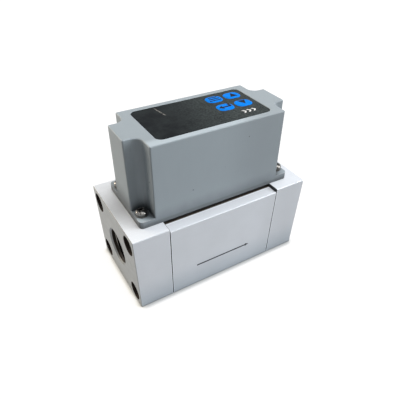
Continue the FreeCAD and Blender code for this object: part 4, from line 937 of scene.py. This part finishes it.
@dataclass
class FlowLine:
    """The three blocks with what they hold, the port threads and the flow arrow."""

    bolt_head: float = 10.0 * MM
    bolt_sink: float = 11.0 * MM
    thread_root: float = 10.48 * MM
    thread_crest: float = 9.32 * MM
    thread_pitch: float = 1.814 * MM
    thread_start: float = 1.1 * MM
    thread_length: float = 12.2 * MM
    turn_steps: int = 72
    ridge_foot: float = 0.47
    ridge_tip: float = 0.09
    ridge_sunk: float = 0.06 * MM
    arrow_start: float = -18.5 * MM
    arrow_end: float = 18.3 * MM
    arrow_level: float = 15.6 * MM
    arrow_width: float = 0.95 * MM
    head_length: float = 2.6 * MM
    head_width: float = 2.2 * MM
    arrow_proud: float = 0.02 * MM

    def port_thread(self, side: Side) -> Shape:
        """Ridge of an inside pipe thread.

        The ridge's section is carried along a right-hand helix: its place along the axis is the pitch times
        the turns made, and its crest reaches in from the root by a depth that fades in and out over half a
        turn at each end. Half its width at foot and tip is a share of the pitch, and it is sunk a little in
        the metal.

        Args:
            side: Port that the thread is in.

        Returns:
            Points and faces of the ridge.
        """
        turns = self.thread_length / self.thread_pitch - 1.0
        turn = np.linspace(0.0, turns, int(turns * self.turn_steps) + 1)
        fade = smooth_step(turn, 0.0, 0.5) * smooth_step(turns - turn, 0.0, 0.5)
        depth = (self.thread_root - self.thread_crest) * fade
        foot, tip = self.ridge_foot * self.thread_pitch, self.ridge_tip * self.thread_pitch
        shift = np.array([-foot, -tip, tip, foot, foot, -foot])
        rise = np.array([0.0, 1.0, 1.0, 0.0, 0.0, 0.0])
        sunk = np.array([0.0, 0.0, 0.0, 0.0, 1.0, 1.0]) * self.ridge_sunk
        radius = self.thread_root - depth[:, None] * rise + sunk
        along = self.thread_start + self.thread_pitch * (turn[:, None] + 0.5) + shift
        angle = 2 * math.pi * turn[:, None]
        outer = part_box("outlet_block")[1].x
        points = np.stack([outer - along, radius * np.cos(angle), radius * np.sin(-angle)], axis=-1)
        points *= (side.value, side.value, 1)
        points[..., 2] += middle_of("outlet_block")[2]
        rows, columns = points.shape[:2]
        faces = grid_faces(rows, columns, wrap=True).tolist()
        faces += [list(range(columns)), list(range((rows - 1) * columns, rows * columns))]
        return points.reshape(-1, 3), faces

    def arrow(self) -> Shape:
        """Flow arrow on the front face: a straight shaft and a filled head.

        Returns:
            Points and faces of a thin layer that stands proud of the metal.
        """
        neck = self.arrow_end - self.head_length
        half, wing = self.arrow_width / 2, self.head_width / 2
        outline = np.array([
            (self.arrow_start, -half), (neck, -half), (neck, -wing), (self.arrow_end, 0.0),
            (neck, wing), (neck, half), (self.arrow_start, half),
        ])
        points, faces = slab(outline, 0.0, self.arrow_proud)
        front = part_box("flow_body")[0].y
        upright = np.stack([points[:, 0], front - points[:, 2], points[:, 1] + self.arrow_level], axis=-1)
        return upright, faces

    def bores(self) -> tuple[tuple[float, float, float], ...]:
        """Bores that open in the end faces.

        Returns:
            Axis and radius of the port and of the four counterbores round it.
        """
        low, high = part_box("inlet_bolts")
        reach_y, reach_z = (high.y - low.y - self.bolt_head) / 2, (high.z - low.z - self.bolt_head) / 2
        level = middle_of("inlet_bolts")[2]
        signs = ((i, j) for i in (-1, 1) for j in (-1, 1))
        sinks = ((i * reach_y, level + j * reach_z, self.bolt_sink / 2) for i, j in signs)
        return (0.0, level, self.thread_root), *sinks

    def build(self) -> None:
        """Dress the blocks and what they hold, and add threads and arrow."""
        blocks = BlastedMetal("blasted_aluminium", (0.585, 0.615, 0.66), (0.347, 0.365, 0.37),
                              (0.7, 0.73, 0.775), foot_shade=0.24, bores=self.bores())
        bolts = TurnedMetal("oiled_bolt_steel", (0.09, 0.075, 0.06), (0.03, 0.022, 0.015), 0.32, 0.7)
        steel = TurnedMetal("screen_steel", (0.62, 0.62, 0.61), (0.4, 0.38, 0.35), 0.25, 0.25)
        rubber = Moulded("black_rubber", (0.03, 0.03, 0.032), 0.62, 0.18 * MM)
        polymer = Moulded("pale_polymer", (0.55, 0.52, 0.45), 0.45)
        dress(blocks, "inlet_block", "outlet_block", "flow_body")
        dress(bolts, "inlet_bolts", "outlet_bolts", "sensor_screws", "base_plate_screws", "board_screws")
        dress(steel, "front_screen", "rear_screen", "screen_spacer")
        dress(rubber, "inlet_seal", "outlet_seal", "sensor_seal", "connector_seal", "neck_gasket")
        dress(polymer, "flow_straightener", "sensor_carrier")

        level = float(middle_of("outlet_block")[2])
        thread = ThreadMetal("cut_thread", self.thread_crest, level).material()
        for side in Side:
            make_piece(f"{side.name.lower()}_thread", self.port_thread(side), thread)
        ink = Ink("arrow_ink", (0.02, 0.021, 0.028)).material()
        make_piece("flow_arrow", self.arrow(), ink)


@dataclass
class ScrewSet:
    """Bright pan head screws with a cross recess that hold the housing down."""

    head: float = 6.0 * MM
    rise: float = 2.4 * MM
    edge: float = 1.0 * MM
    shank: float = 3.0 * MM
    tip: float = -7.9 * MM
    tip_bevel: float = 0.5 * MM
    seat_bevel: float = 0.12 * MM
    arm_width: float = 1.15 * MM
    arm_reach: float = 2.0 * MM
    arm_taper: float = 0.25
    hub: float = 0.8 * MM
    recess: float = 1.6 * MM
    end_lift: float = 0.5
    wall_foot: float = 0.05 * MM
    wall_tops: Sequence[float] = (0.07 * MM, 0.12 * MM, 0.1 * MM)
    rings: int = 56
    spokes: int = 144
    turns: Sequence[float] = (0.7, 1.0, 0.35, 0.8)

    def crown(self, x: np.ndarray, y: np.ndarray) -> np.ndarray:
        """Height of the head over its seat: a flattened dome less the cross.

        The dome is the edge height plus the rest times the root of one less the cube of the radius share. The
        cross is as deep as the recess at the middle and half as deep at the end of an arm. Its walls slope a
        little, each in its own measure, at the sides of the arms, at their ends and round the hub.

        Args:
            x: Distance from the axis along one arm.
            y: Distance from the axis along the other arm.

        Returns:
            The height at each point.
        """
        radius = np.hypot(x, y)
        share = np.clip(radius / (self.head / 2), 0.0, 1.0)
        dome = self.edge + (self.rise - self.edge) * np.sqrt(1.0 - share**3)
        narrow = np.minimum(np.abs(x), np.abs(y))
        long = np.maximum(np.abs(x), np.abs(y))
        half = self.arm_width / 2 * (1.0 - self.arm_taper * long / self.arm_reach)
        depths = (half - narrow, self.arm_reach - long, self.hub - radius)
        walls = [smooth_step(depth, -self.wall_foot, top) for depth, top in zip(depths, self.wall_tops)]
        sides, ends, hub = walls
        depth = self.recess * (1.0 - self.end_lift * np.clip(long / self.arm_reach, 0.0, 1.0))
        return dome - depth * np.maximum(sides * ends, hub)

    def screw(self, turn: float) -> np.ndarray:
        """Rows of points from the middle of the head, over its rim and seat, down to the screw's tip.

        Args:
            turn: Angle of the cross, in radians.

        Returns:
            Rows of points round the axis, the first and the last row at the axis.
        """
        angle = np.linspace(0.0, 2 * math.pi, self.spokes, endpoint=False)
        radius = self.head / 2 * np.sin(np.linspace(0.0, math.pi / 2, self.rings))
        x, y = radius[:, None] * np.cos(angle), radius[:, None] * np.sin(angle)
        across, along = np.cos(turn) * x + np.sin(turn) * y, np.cos(turn) * y - np.sin(turn) * x
        top = np.stack([x, y, self.crown(across, along)], axis=-1)
        rim, core = self.head / 2, self.shank / 2
        profile = np.array([
            (rim, self.seat_bevel), (rim - self.seat_bevel, 0.0), (core, 0.0),
            (core, self.tip + self.tip_bevel), (core - self.tip_bevel, self.tip), (0.0, self.tip),
        ])
        side = np.stack([
            profile[:, :1] * np.cos(angle), profile[:, :1] * np.sin(angle),
            np.repeat(profile[:, 1:], self.spokes, axis=1),
        ], axis=-1)
        return np.concatenate([top, side])

    def build(self) -> None:
        """One mesh with the four screws in their places on the pads."""
        low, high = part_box("housing_screws")
        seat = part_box("screw_washers")[1].z
        xs = (low.x + self.head / 2, high.x - self.head / 2)
        ys = (low.y + self.head / 2, high.y - self.head / 2)
        spots = [np.array([x, y, seat]) for x in xs for y in ys]
        screws = merged(turned_solid(self.screw(turn) + spot) for spot, turn in zip(spots, self.turns))
        # The chrome is dark and its stain covers nearly all of it: painted dark reflections, with painted
        # shade in the cross.
        chrome = TurnedMetal("bright_chrome", (0.22, 0.215, 0.205), (0.008, 0.006, 0.005), 0.1, 0.98)
        dress(TurnedMetal("washer_steel", (0.2, 0.18, 0.16), (0.03, 0.025, 0.02)), "screw_washers")
        make_piece("pad_screws", screws, chrome.material(), ("housing_screws",), 50.0)


@dataclass
class Panel:
    """Film in the window of the housing, with four embossed keys, their signs and a printed mark."""

    corner: float = 3.15 * MM
    corner_steps: int = 12
    key_middle: Sequence[float] = (19.2 * MM, 4.1 * MM)
    key_pitch: Sequence[float] = (11.35 * MM, 10.95 * MM)
    key_size: Sequence[float] = (9.6 * MM, 7.5 * MM)
    key_round: float = 3.2 * MM
    key_rise: float = 0.3 * MM
    key_foot: float = 0.1 * MM
    key_shoulder: float = 0.55 * MM
    step: float = 0.26 * MM
    ink: float = 0.015 * MM
    ink_root: float = 0.01 * MM
    mark_place: Sequence[float] = (22.3 * MM, -10.3 * MM)
    mark_pitch: float = 2.9 * MM

    def key_spots(self) -> list[tuple[float, float]]:
        """Middles of the keys: back left, back right, front left, front right."""
        (x, y), (pitch_x, pitch_y) = self.key_middle, self.key_pitch
        return [(x + i * pitch_x / 2, y + j * pitch_y / 2) for j in (1, -1) for i in (-1, 1)]

    def emboss(self, x: np.ndarray, y: np.ndarray) -> np.ndarray:
        """Height of the keys over the film.

        The distance into a key's rounded rectangle is its corner radius less the length of what lies beyond
        the rectangle drawn in by that radius. The height climbs smoothly from foot to shoulder.

        Args:
            x: Places along the flow.
            y: Places across the flow.

        Returns:
            The height at each point.
        """
        beyond = []
        for value, middle, pitch, size in zip((x, y), self.key_middle, self.key_pitch, self.key_size):
            folded = np.abs(np.abs(value - middle) - pitch / 2)
            beyond.append(np.maximum(folded - (size / 2 - self.key_round), 0.0))
        inside = self.key_round - np.hypot(*beyond)
        return self.key_rise * smooth_step(inside, -self.key_foot, self.key_shoulder)

    def sheet(self) -> Shape:
        """The film as a closed plate.

        Along the length the rows are evenly spaced and follow the corner's arc at both ends, and each row
        is as wide as the outline there: its half width less the corner radius, plus the root of one less
        the square of the share of the corner that is passed, times that radius.

        Returns:
            Points and faces.
        """
        low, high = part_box("window_film")
        half_x, half_y = (high.x - low.x) / 2, (high.y - low.y) / 2
        middle_x, middle_y, _ = middle_of("window_film")
        straight = half_x - self.corner
        bend = straight + self.corner * np.sin(np.linspace(0.0, math.pi / 2, self.corner_steps)[1:])
        body = np.linspace(-straight, straight, int(2 * straight / self.step))
        x = np.concatenate([-bend[::-1], body, bend])
        beyond = np.clip((np.abs(x) - straight) / self.corner, 0.0, 1.0)
        width = half_y - self.corner + self.corner * np.sqrt(1.0 - beyond**2)
        share = np.linspace(-1.0, 1.0, int(2 * half_y / self.step))
        grid_x = np.repeat(x[:, None], len(share), axis=1) + middle_x
        grid_y = width[:, None] * share + middle_y
        top = np.stack([grid_x, grid_y, high.z - self.key_rise + self.emboss(grid_x, grid_y)], axis=-1)
        rows, columns = top.shape[:2]
        numbers = np.arange(rows * columns).reshape(rows, columns)
        rim = np.concatenate([numbers[0, :-1], numbers[:-1, -1], numbers[-1, :0:-1], numbers[:0:-1, 0]])
        foot = top.reshape(-1, 3)[rim]
        foot[:, 2] = low.z
        under = rows * columns + np.arange(len(rim))
        sides = np.stack([rim, np.roll(rim, -1), np.roll(under, -1), under], axis=-1)
        faces = grid_faces(rows, columns).tolist() + sides.tolist() + [under.tolist()]
        return np.concatenate([top.reshape(-1, 3), foot]), faces

    def printed(self, outlines: Iterable[tuple[np.ndarray, Sequence[float]]], level: float) -> Shape:
        """Thin plates of ink on the film's level, each with an outline and the spot that it lies round."""
        low, high = level - self.ink_root, level + self.ink
        return merged(slab(outline + np.array(spot), low, high) for outline, spot in outlines)

    def signs(self) -> Shape:
        """Plain signs on the keys: a list, a triangle up, a turn-back arrow and a triangle down.

        Each is an outline of millimetres round the middle of its key, shifted a little as printed.

        Returns:
            Points and faces.
        """
        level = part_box("window_film")[1].z
        back_left, back_right, front_left, front_right = self.key_spots()
        bar = np.array([(-3.6, -0.45), (3.6, -0.45), (3.6, 0.45), (-3.6, 0.45)])
        triangle = np.array([(-2.3, -2.2), (2.3, -2.2), (0.0, 2.3)])
        hook = np.array([(-3.8, -0.5), (-1.3, -2.5), (-1.3, -1.1), (3.7, -1.1), (3.7, 2.3), (2.4, 2.3),
                         (2.4, 0.1), (-1.3, 0.1), (-1.3, 1.5)])
        signs = [(bar * (0.88 - 0.12 * row, 1.0), back_left, (0.1, 0.2 + 1.9 * row)) for row in (-1, 0, 1)]
        signs.append((triangle, back_right, (0.6, 0.3)))
        signs.append((-triangle, front_right, (0.4, 0.6)))
        signs.append((hook, front_left, (0.0, 0.4)))
        moved = [(outline * MM, np.add(spot, np.multiply(shift, MM))) for outline, spot, shift in signs]
        return self.printed(moved, level)

    def marks(self) -> Shape:
        """Three chevrons that point along the flow, printed in front of the keys.

        Returns:
            Points and faces.
        """
        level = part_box("window_film")[1].z - self.key_rise
        chevron = np.array([(-1.1, -1.5), (0.0, -1.5), (1.3, 0.0), (0.0, 1.5), (-1.1, 1.5), (0.2, 0.0)]) * MM
        x, y = self.mark_place
        return self.printed([(chevron, (x + step * self.mark_pitch, y)) for step in (-1, 0, 1)], level)

    def build(self) -> None:
        """Film, signs and mark."""
        film = PanelFilm(
            "panel_film", (0.006, 0.0075, 0.0095), (0.075, 0.09, 0.09), (0.002, 0.19, 0.72),
            self.key_middle, self.key_pitch, self.key_size, self.key_round,
            scratch=((-19.3 * MM, 15.2 * MM), (-17.6 * MM, 5.2 * MM)),
        )
        make_piece("panel_sheet", self.sheet(), film.material(), ("window_film",), 60.0)
        dark = Ink("sign_ink", (0.002, 0.003, 0.008)).material()
        make_piece("key_signs", self.signs(), dark)
        white = Ink("mark_ink", (0.66, 0.66, 0.66)).material()
        make_piece("panel_marks", self.marks(), white)


@dataclass
class Head:
    """Cast housing with its screws, panel and the electronics inside."""

    pits: tuple[tuple[float, float, float, float], ...] = (
        (16.2, -20.15, 84.4, 0.55), (-16.7, -20.5, 63.5, 0.6), (-38.5, -16.7, 73.2, 0.8),
        (-40.2, -8.95, 88.2, 0.65), (-41.0, -9.0, 85.2, 0.45), (2.5, -20.4, 71.0, 0.3),
    )

    def build(self) -> None:
        """Dress the housing and the pieces in it, then add screws and panel."""
        plain = (0.66, 0.67, 0.68)
        paint = CastPaint("cast_paint", (0.297, 0.344, 0.378), self.pits)
        plate = BlastedMetal("plate_aluminium", plain, plain, plain, metallic=0.8)
        board = BoardLaminate("board_laminate", (0.02, 0.14, 0.06))
        epoxy = Moulded("chip_epoxy", (0.025, 0.025, 0.027), 0.4, 0.1 * MM, coat=0.1)
        black = Moulded("black_moulding", (0.02, 0.02, 0.021), 0.5)
        brass = TurnedMetal("post_brass", (0.78, 0.58, 0.28), (0.4, 0.26, 0.1), 0.22, 0.3)
        sleeve = Moulded("lead_sleeve", (0.02, 0.02, 0.022), 0.4, 0.3 * MM, coat=0.2)
        glass = DisplayGlass("display_cell", (0.3, 0.34, 0.27))
        dress(paint, "housing")
        dress(plate, "base_plate", "supply_capacitor")
        dress(board, "sensor_board", "main_board", "display_board")
        dress(epoxy, "sensor_chip", "processor")
        dress(black, "sensor_socket", "stacking_header", "display_frame", "key_switches", "lead_plug",
              "connector_insert")
        dress(brass, "lower_posts", "upper_posts", "connector_pins")
        dress(sleeve, "power_lead")
        dress(glass, "display_glass")

        ScrewSet().build()
        Panel().build()


@dataclass
class CableConnector:
    """Round connector in the back wall: knurled flange and threaded barrel round the pin insert."""

    barrel: float = 12.0 * MM
    bore: float = 9.6 * MM
    flange: float = 17.0 * MM
    flange_thickness: float = 2.0 * MM
    rear: float = 9.0 * MM
    thread_pitch: float = 1.0 * MM
    thread_depth: float = 0.55 * MM
    bevel: float = 0.35 * MM
    knurl: float = 0.22 * MM
    knurl_count: int = 48
    thread_entry: float = 1.2 * MM
    thread_end: float = 0.6 * MM
    root_end: float = 0.55 * MM
    root_flat: float = 1.15
    step: float = 0.08 * MM
    spokes: int = 288

    def shell(self) -> np.ndarray:
        """Rows of points round the axis, from the bore's front edge outwards, back and in again.

        On the barrel the radius dips by the thread's depth times a triangle wave of the place along the axis
        over the pitch less the turn made, cut off at 1 for a flat root. It is at its root over the entry at
        the front and near the seat. The flange's rim dips by the knurl's depth times a wave of the angle.

        Returns:
            Rows of points, the last one joined to the first.
        """
        low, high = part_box("connector_shell")
        middle_x, _, middle_z = middle_of("connector_shell")
        back, front = low.y, high.y
        wall = back + self.rear
        seat = wall + self.flange_thickness
        bevel = self.bevel
        barrel, bore, flange = self.barrel / 2, self.bore / 2, self.flange / 2
        root = barrel - self.thread_depth
        angle = np.linspace(0.0, 2 * math.pi, self.spokes, endpoint=False)
        along = np.arange(front - bevel, seat + self.thread_end, -self.step)
        rows = [(bore, back), (bore, front - bevel), (bore + bevel, front), (root, front)]
        rows += [(barrel, y) for y in along]
        rows += [
            (root, seat + self.root_end), (root, seat), (flange - bevel, seat), (flange, seat - bevel),
            (flange, wall + bevel), (flange - bevel, wall), (barrel, wall), (barrel, back), (bore, back),
        ]
        profile = np.array(rows)
        radius = np.repeat(profile[:, :1], self.spokes, axis=1)
        place = np.repeat(profile[:, 1:], self.spokes, axis=1)
        threaded = slice(4, 4 + len(along))
        wave = np.abs(((place[threaded] / self.thread_pitch - angle / (2 * math.pi)) % 1.0) * 2.0 - 1.0)
        entry = smooth_step(place[threaded], front - self.thread_entry, front - bevel)
        radius[threaded] -= self.thread_depth * np.maximum(np.minimum(wave * self.root_flat, 1.0), entry)
        rim = np.isclose(profile[:, 0], flange)
        radius[rim] -= self.knurl * np.abs(np.sin(angle * self.knurl_count / 2))
        across, upwards = radius * np.sin(angle), radius * np.cos(angle)
        return np.stack([middle_x + across, place, middle_z + upwards], axis=-1)

    def build(self) -> None:
        """Shell in place of the plain one, and the nut behind the wall."""
        nickel = dress(TurnedMetal("nickel_plate", (0.4, 0.385, 0.36), (0.16, 0.15, 0.135), 0.3, 0.5),
                       "connector_nut")
        make_piece("connector_barrel", turned_solid(self.shell()), nickel,
                   ("connector_shell",), 40.0)


@dataclass(frozen=True)
class Lamp:
    """Square soft lamp that looks at the meter.

    Its azimuth is in degrees from the front towards +X and its elevation in degrees above the floor. Its
    distance is from the meter's middle, its power in watts, and glints is the share that shows as glints.
    """

    name: str
    azimuth: float
    elevation: float
    distance: float
    side: float
    power: float
    colour: Colour = (1.0, 1.0, 1.0)
    glints: float = 1.0


@dataclass
class Studio:
    """Pale floor, soft lamps and the camera of the photograph.

    Azimuth, elevation and roll of the camera are in degrees, and its focal length and picture centre are in
    pixels of the photograph. The floor's contact shadow has two tints, a cool one and a warm one, and turns
    warm between the two places along the flow in left. Over the distances in far the floor climbs to white.
    """

    azimuth: float = -32.366
    elevation: float = 43.171
    roll: float = 1.502
    focal: float = 369.6
    centre: Sequence[float] = (204.0, 240.0)
    aside: float = 3.061 * MM
    upwards: float = 3.035 * MM
    distance: float = 249.947 * MM
    sensor: float = 36.0
    target: Sequence[float] = (0.0, 0.0, 45 * MM)
    clip: Sequence[float] = (0.01, 20.0)
    floor_reach: float = 4.0
    paper: Sequence[Colour] = ((0.13, 0.13, 0.13), (0.14, 0.14, 0.14))
    bounce: Colour = (0.3, 0.3, 0.3)
    contact: float = 4.5 * MM
    contact_shade: float = 0.42
    tints: Sequence[Colour] = ((0.84, 0.87, 0.89), (0.98, 0.92, 0.78))
    left: Sequence[float] = (-50 * MM, -58 * MM)
    far: Sequence[float] = (0.15, 0.6)
    glow: float = 0.92
    sky: Colour = (0.94, 0.97, 1.0)
    ambient: float = 0.02
    lamps: tuple[Lamp, ...] = (
        Lamp("ceiling_lamp", 0.0, 88.0, 1.1, 1.2, 8.0, glints=0.0),
        Lamp("key_lamp", 72.0, 62.0, 1.1, 0.9, 6.3, glints=0.25),
        Lamp("right_lamp", 55.0, 18.0, 1.0, 0.5, 8.0, (0.97, 0.99, 1.0), glints=0.5),
        Lamp("left_lamp", -140.0, 20.0, 1.0, 0.5, 6.9, (1.0, 0.88, 0.71), glints=0.1),
    )

    def floor(self) -> None:
        """Level paper floor: white where it is open, with a painted contact shadow, darker and tinted, close
        to the meter's foot.
        """
        mesh = bpy.data.meshes.new("floor")
        corners = np.array([(-1, -1, 0), (1, -1, 0), (1, 1, 0), (-1, 1, 0)]) * self.floor_reach
        mesh.from_pydata(corners, [], [[0, 1, 2, 3]])
        floor = bpy.data.objects.new("floor", mesh)
        bpy.context.scene.collection.objects.link(floor)
        bench = Bench("floor_paper")
        place, seen = bench.place(), bench.seen()
        paper = bench.mix(bench.noise(place, 2 * MM, 2.0), *self.paper)
        open_air = bench.hollow(self.contact, 12)
        along, _, _ = bench.parts(place)
        away = bench.vector("LENGTH", place, output="Value").ramp(*self.far)
        left = along.ramp(*self.left)
        tint = bench.mix(open_air.ramp(0.5, 0.97), bench.mix(left, *self.tints), (1.0, 1.0, 1.0))
        shade = (open_air + 0.12 * left).ramp(0.5, 0.95, self.contact_shade, 1.0)
        glow = shade * (self.glow + (1.0 - self.glow) * away)
        bench.finish({
            "Base Color": bench.mix(seen, self.bounce, paper),
            "Roughness": 0.9,
            "Specular IOR Level": 0.0,
            "Emission Color": bench.scaled(tint, seen * glow),
            "Emission Strength": 1.0,
        })
        mesh.materials.append(bench.owner)

    def world(self) -> None:
        """White for the camera and for reflections, and plain light for the rest."""
        bench = Bench("studio", bpy.data.worlds)
        bpy.context.scene.world = bench.owner
        plain = bench.add("ShaderNodeBackground", inputs={"Color": self.sky, "Strength": self.ambient})
        white = bench.add("ShaderNodeBackground", inputs={"Color": (1.0, 1.0, 1.0), "Strength": 1.0})
        bench.close(bench.add("ShaderNodeMixShader", inputs={0: bench.seen(), 1: plain, 2: white}))

    def hang(self, lamp: Lamp) -> None:
        """Put a lamp in the scene.

        Args:
            lamp: Its place, size and light.
        """
        light = bpy.data.lights.new(lamp.name, "AREA")
        light.shape = "SQUARE"
        light.size = lamp.side
        light.energy = lamp.power
        light.color = lamp.colour
        light.specular_factor = lamp.glints
        lantern = bpy.data.objects.new(lamp.name, light)
        bpy.context.scene.collection.objects.link(lantern)
        out = self.direction(lamp.azimuth, lamp.elevation)
        lantern.matrix_world = self.looking(self.target + out * lamp.distance, out, 0.0)

    @staticmethod
    def direction(azimuth: float, elevation: float) -> np.ndarray:
        """Direction from the meter to a place round it."""
        turn, lift = math.radians(azimuth), math.radians(elevation)
        return np.array([math.sin(turn) * math.cos(lift), -math.cos(turn) * math.cos(lift), math.sin(lift)])

    @staticmethod
    def axes(back: np.ndarray, roll: float) -> np.ndarray:
        """Directions of something that looks at the meter.

        Args:
            back: Direction from the meter to it.
            roll: Degrees that it is rolled about that direction.

        Returns:
            Its right, up and back directions, as rows.
        """
        right = np.cross([0.0, 0.0, 1.0], back)
        right /= np.linalg.norm(right)
        up = np.cross(back, right)
        cosine, sine = math.cos(math.radians(roll)), math.sin(math.radians(roll))
        return np.array([cosine * right + sine * up, cosine * up - sine * right, back])

    def looking(self, spot: np.ndarray, back: np.ndarray, roll: float) -> Matrix:
        """Matrix of something that looks at the meter.

        Args:
            spot: Where it is.
            back: Direction from the meter to it.
            roll: Degrees that it is rolled about that direction.

        Returns:
            The matrix for its object.
        """
        matrix = np.eye(4)
        matrix[:3, :3] = self.axes(back, roll).T
        matrix[:3, 3] = spot
        return Matrix(matrix.tolist())

    def camera(self) -> None:
        """Camera at the photograph's angle, which is placed along its own right, up and back directions."""
        data = bpy.data.cameras.new("camera")
        data.sensor_width = self.sensor
        data.lens = self.focal / PHOTO_SIDE * self.sensor
        data.shift_x = 0.5 - self.centre[0] / PHOTO_SIDE
        data.shift_y = self.centre[1] / PHOTO_SIDE - 0.5
        data.clip_start, data.clip_end = self.clip
        camera = bpy.data.objects.new("camera", data)
        bpy.context.scene.collection.objects.link(camera)
        back = self.direction(self.azimuth, self.elevation)
        spot = np.array([self.aside, self.upwards, self.distance]) @ self.axes(back, self.roll)
        camera.matrix_world = self.looking(spot, back, self.roll)
        bpy.context.scene.camera = camera

    def build(self) -> None:
        """Camera, floor, world and lamps."""
        self.camera()
        self.floor()
        self.world()
        for lamp in self.lamps:
            self.hang(lamp)


def main() -> None:
    """Dress the meter, build its fine pieces and set up the studio."""
    logging.basicConfig(level=logging.INFO, format="%(name)s: %(message)s")
    bpy.context.scene.view_settings.view_transform = "Standard"
    for assembly in (FlowLine(), Head(), CableConnector(), Studio()):
        assembly.build()
        log.info("%s built", type(assembly).__name__)


if __name__ == "__main__":
    main()
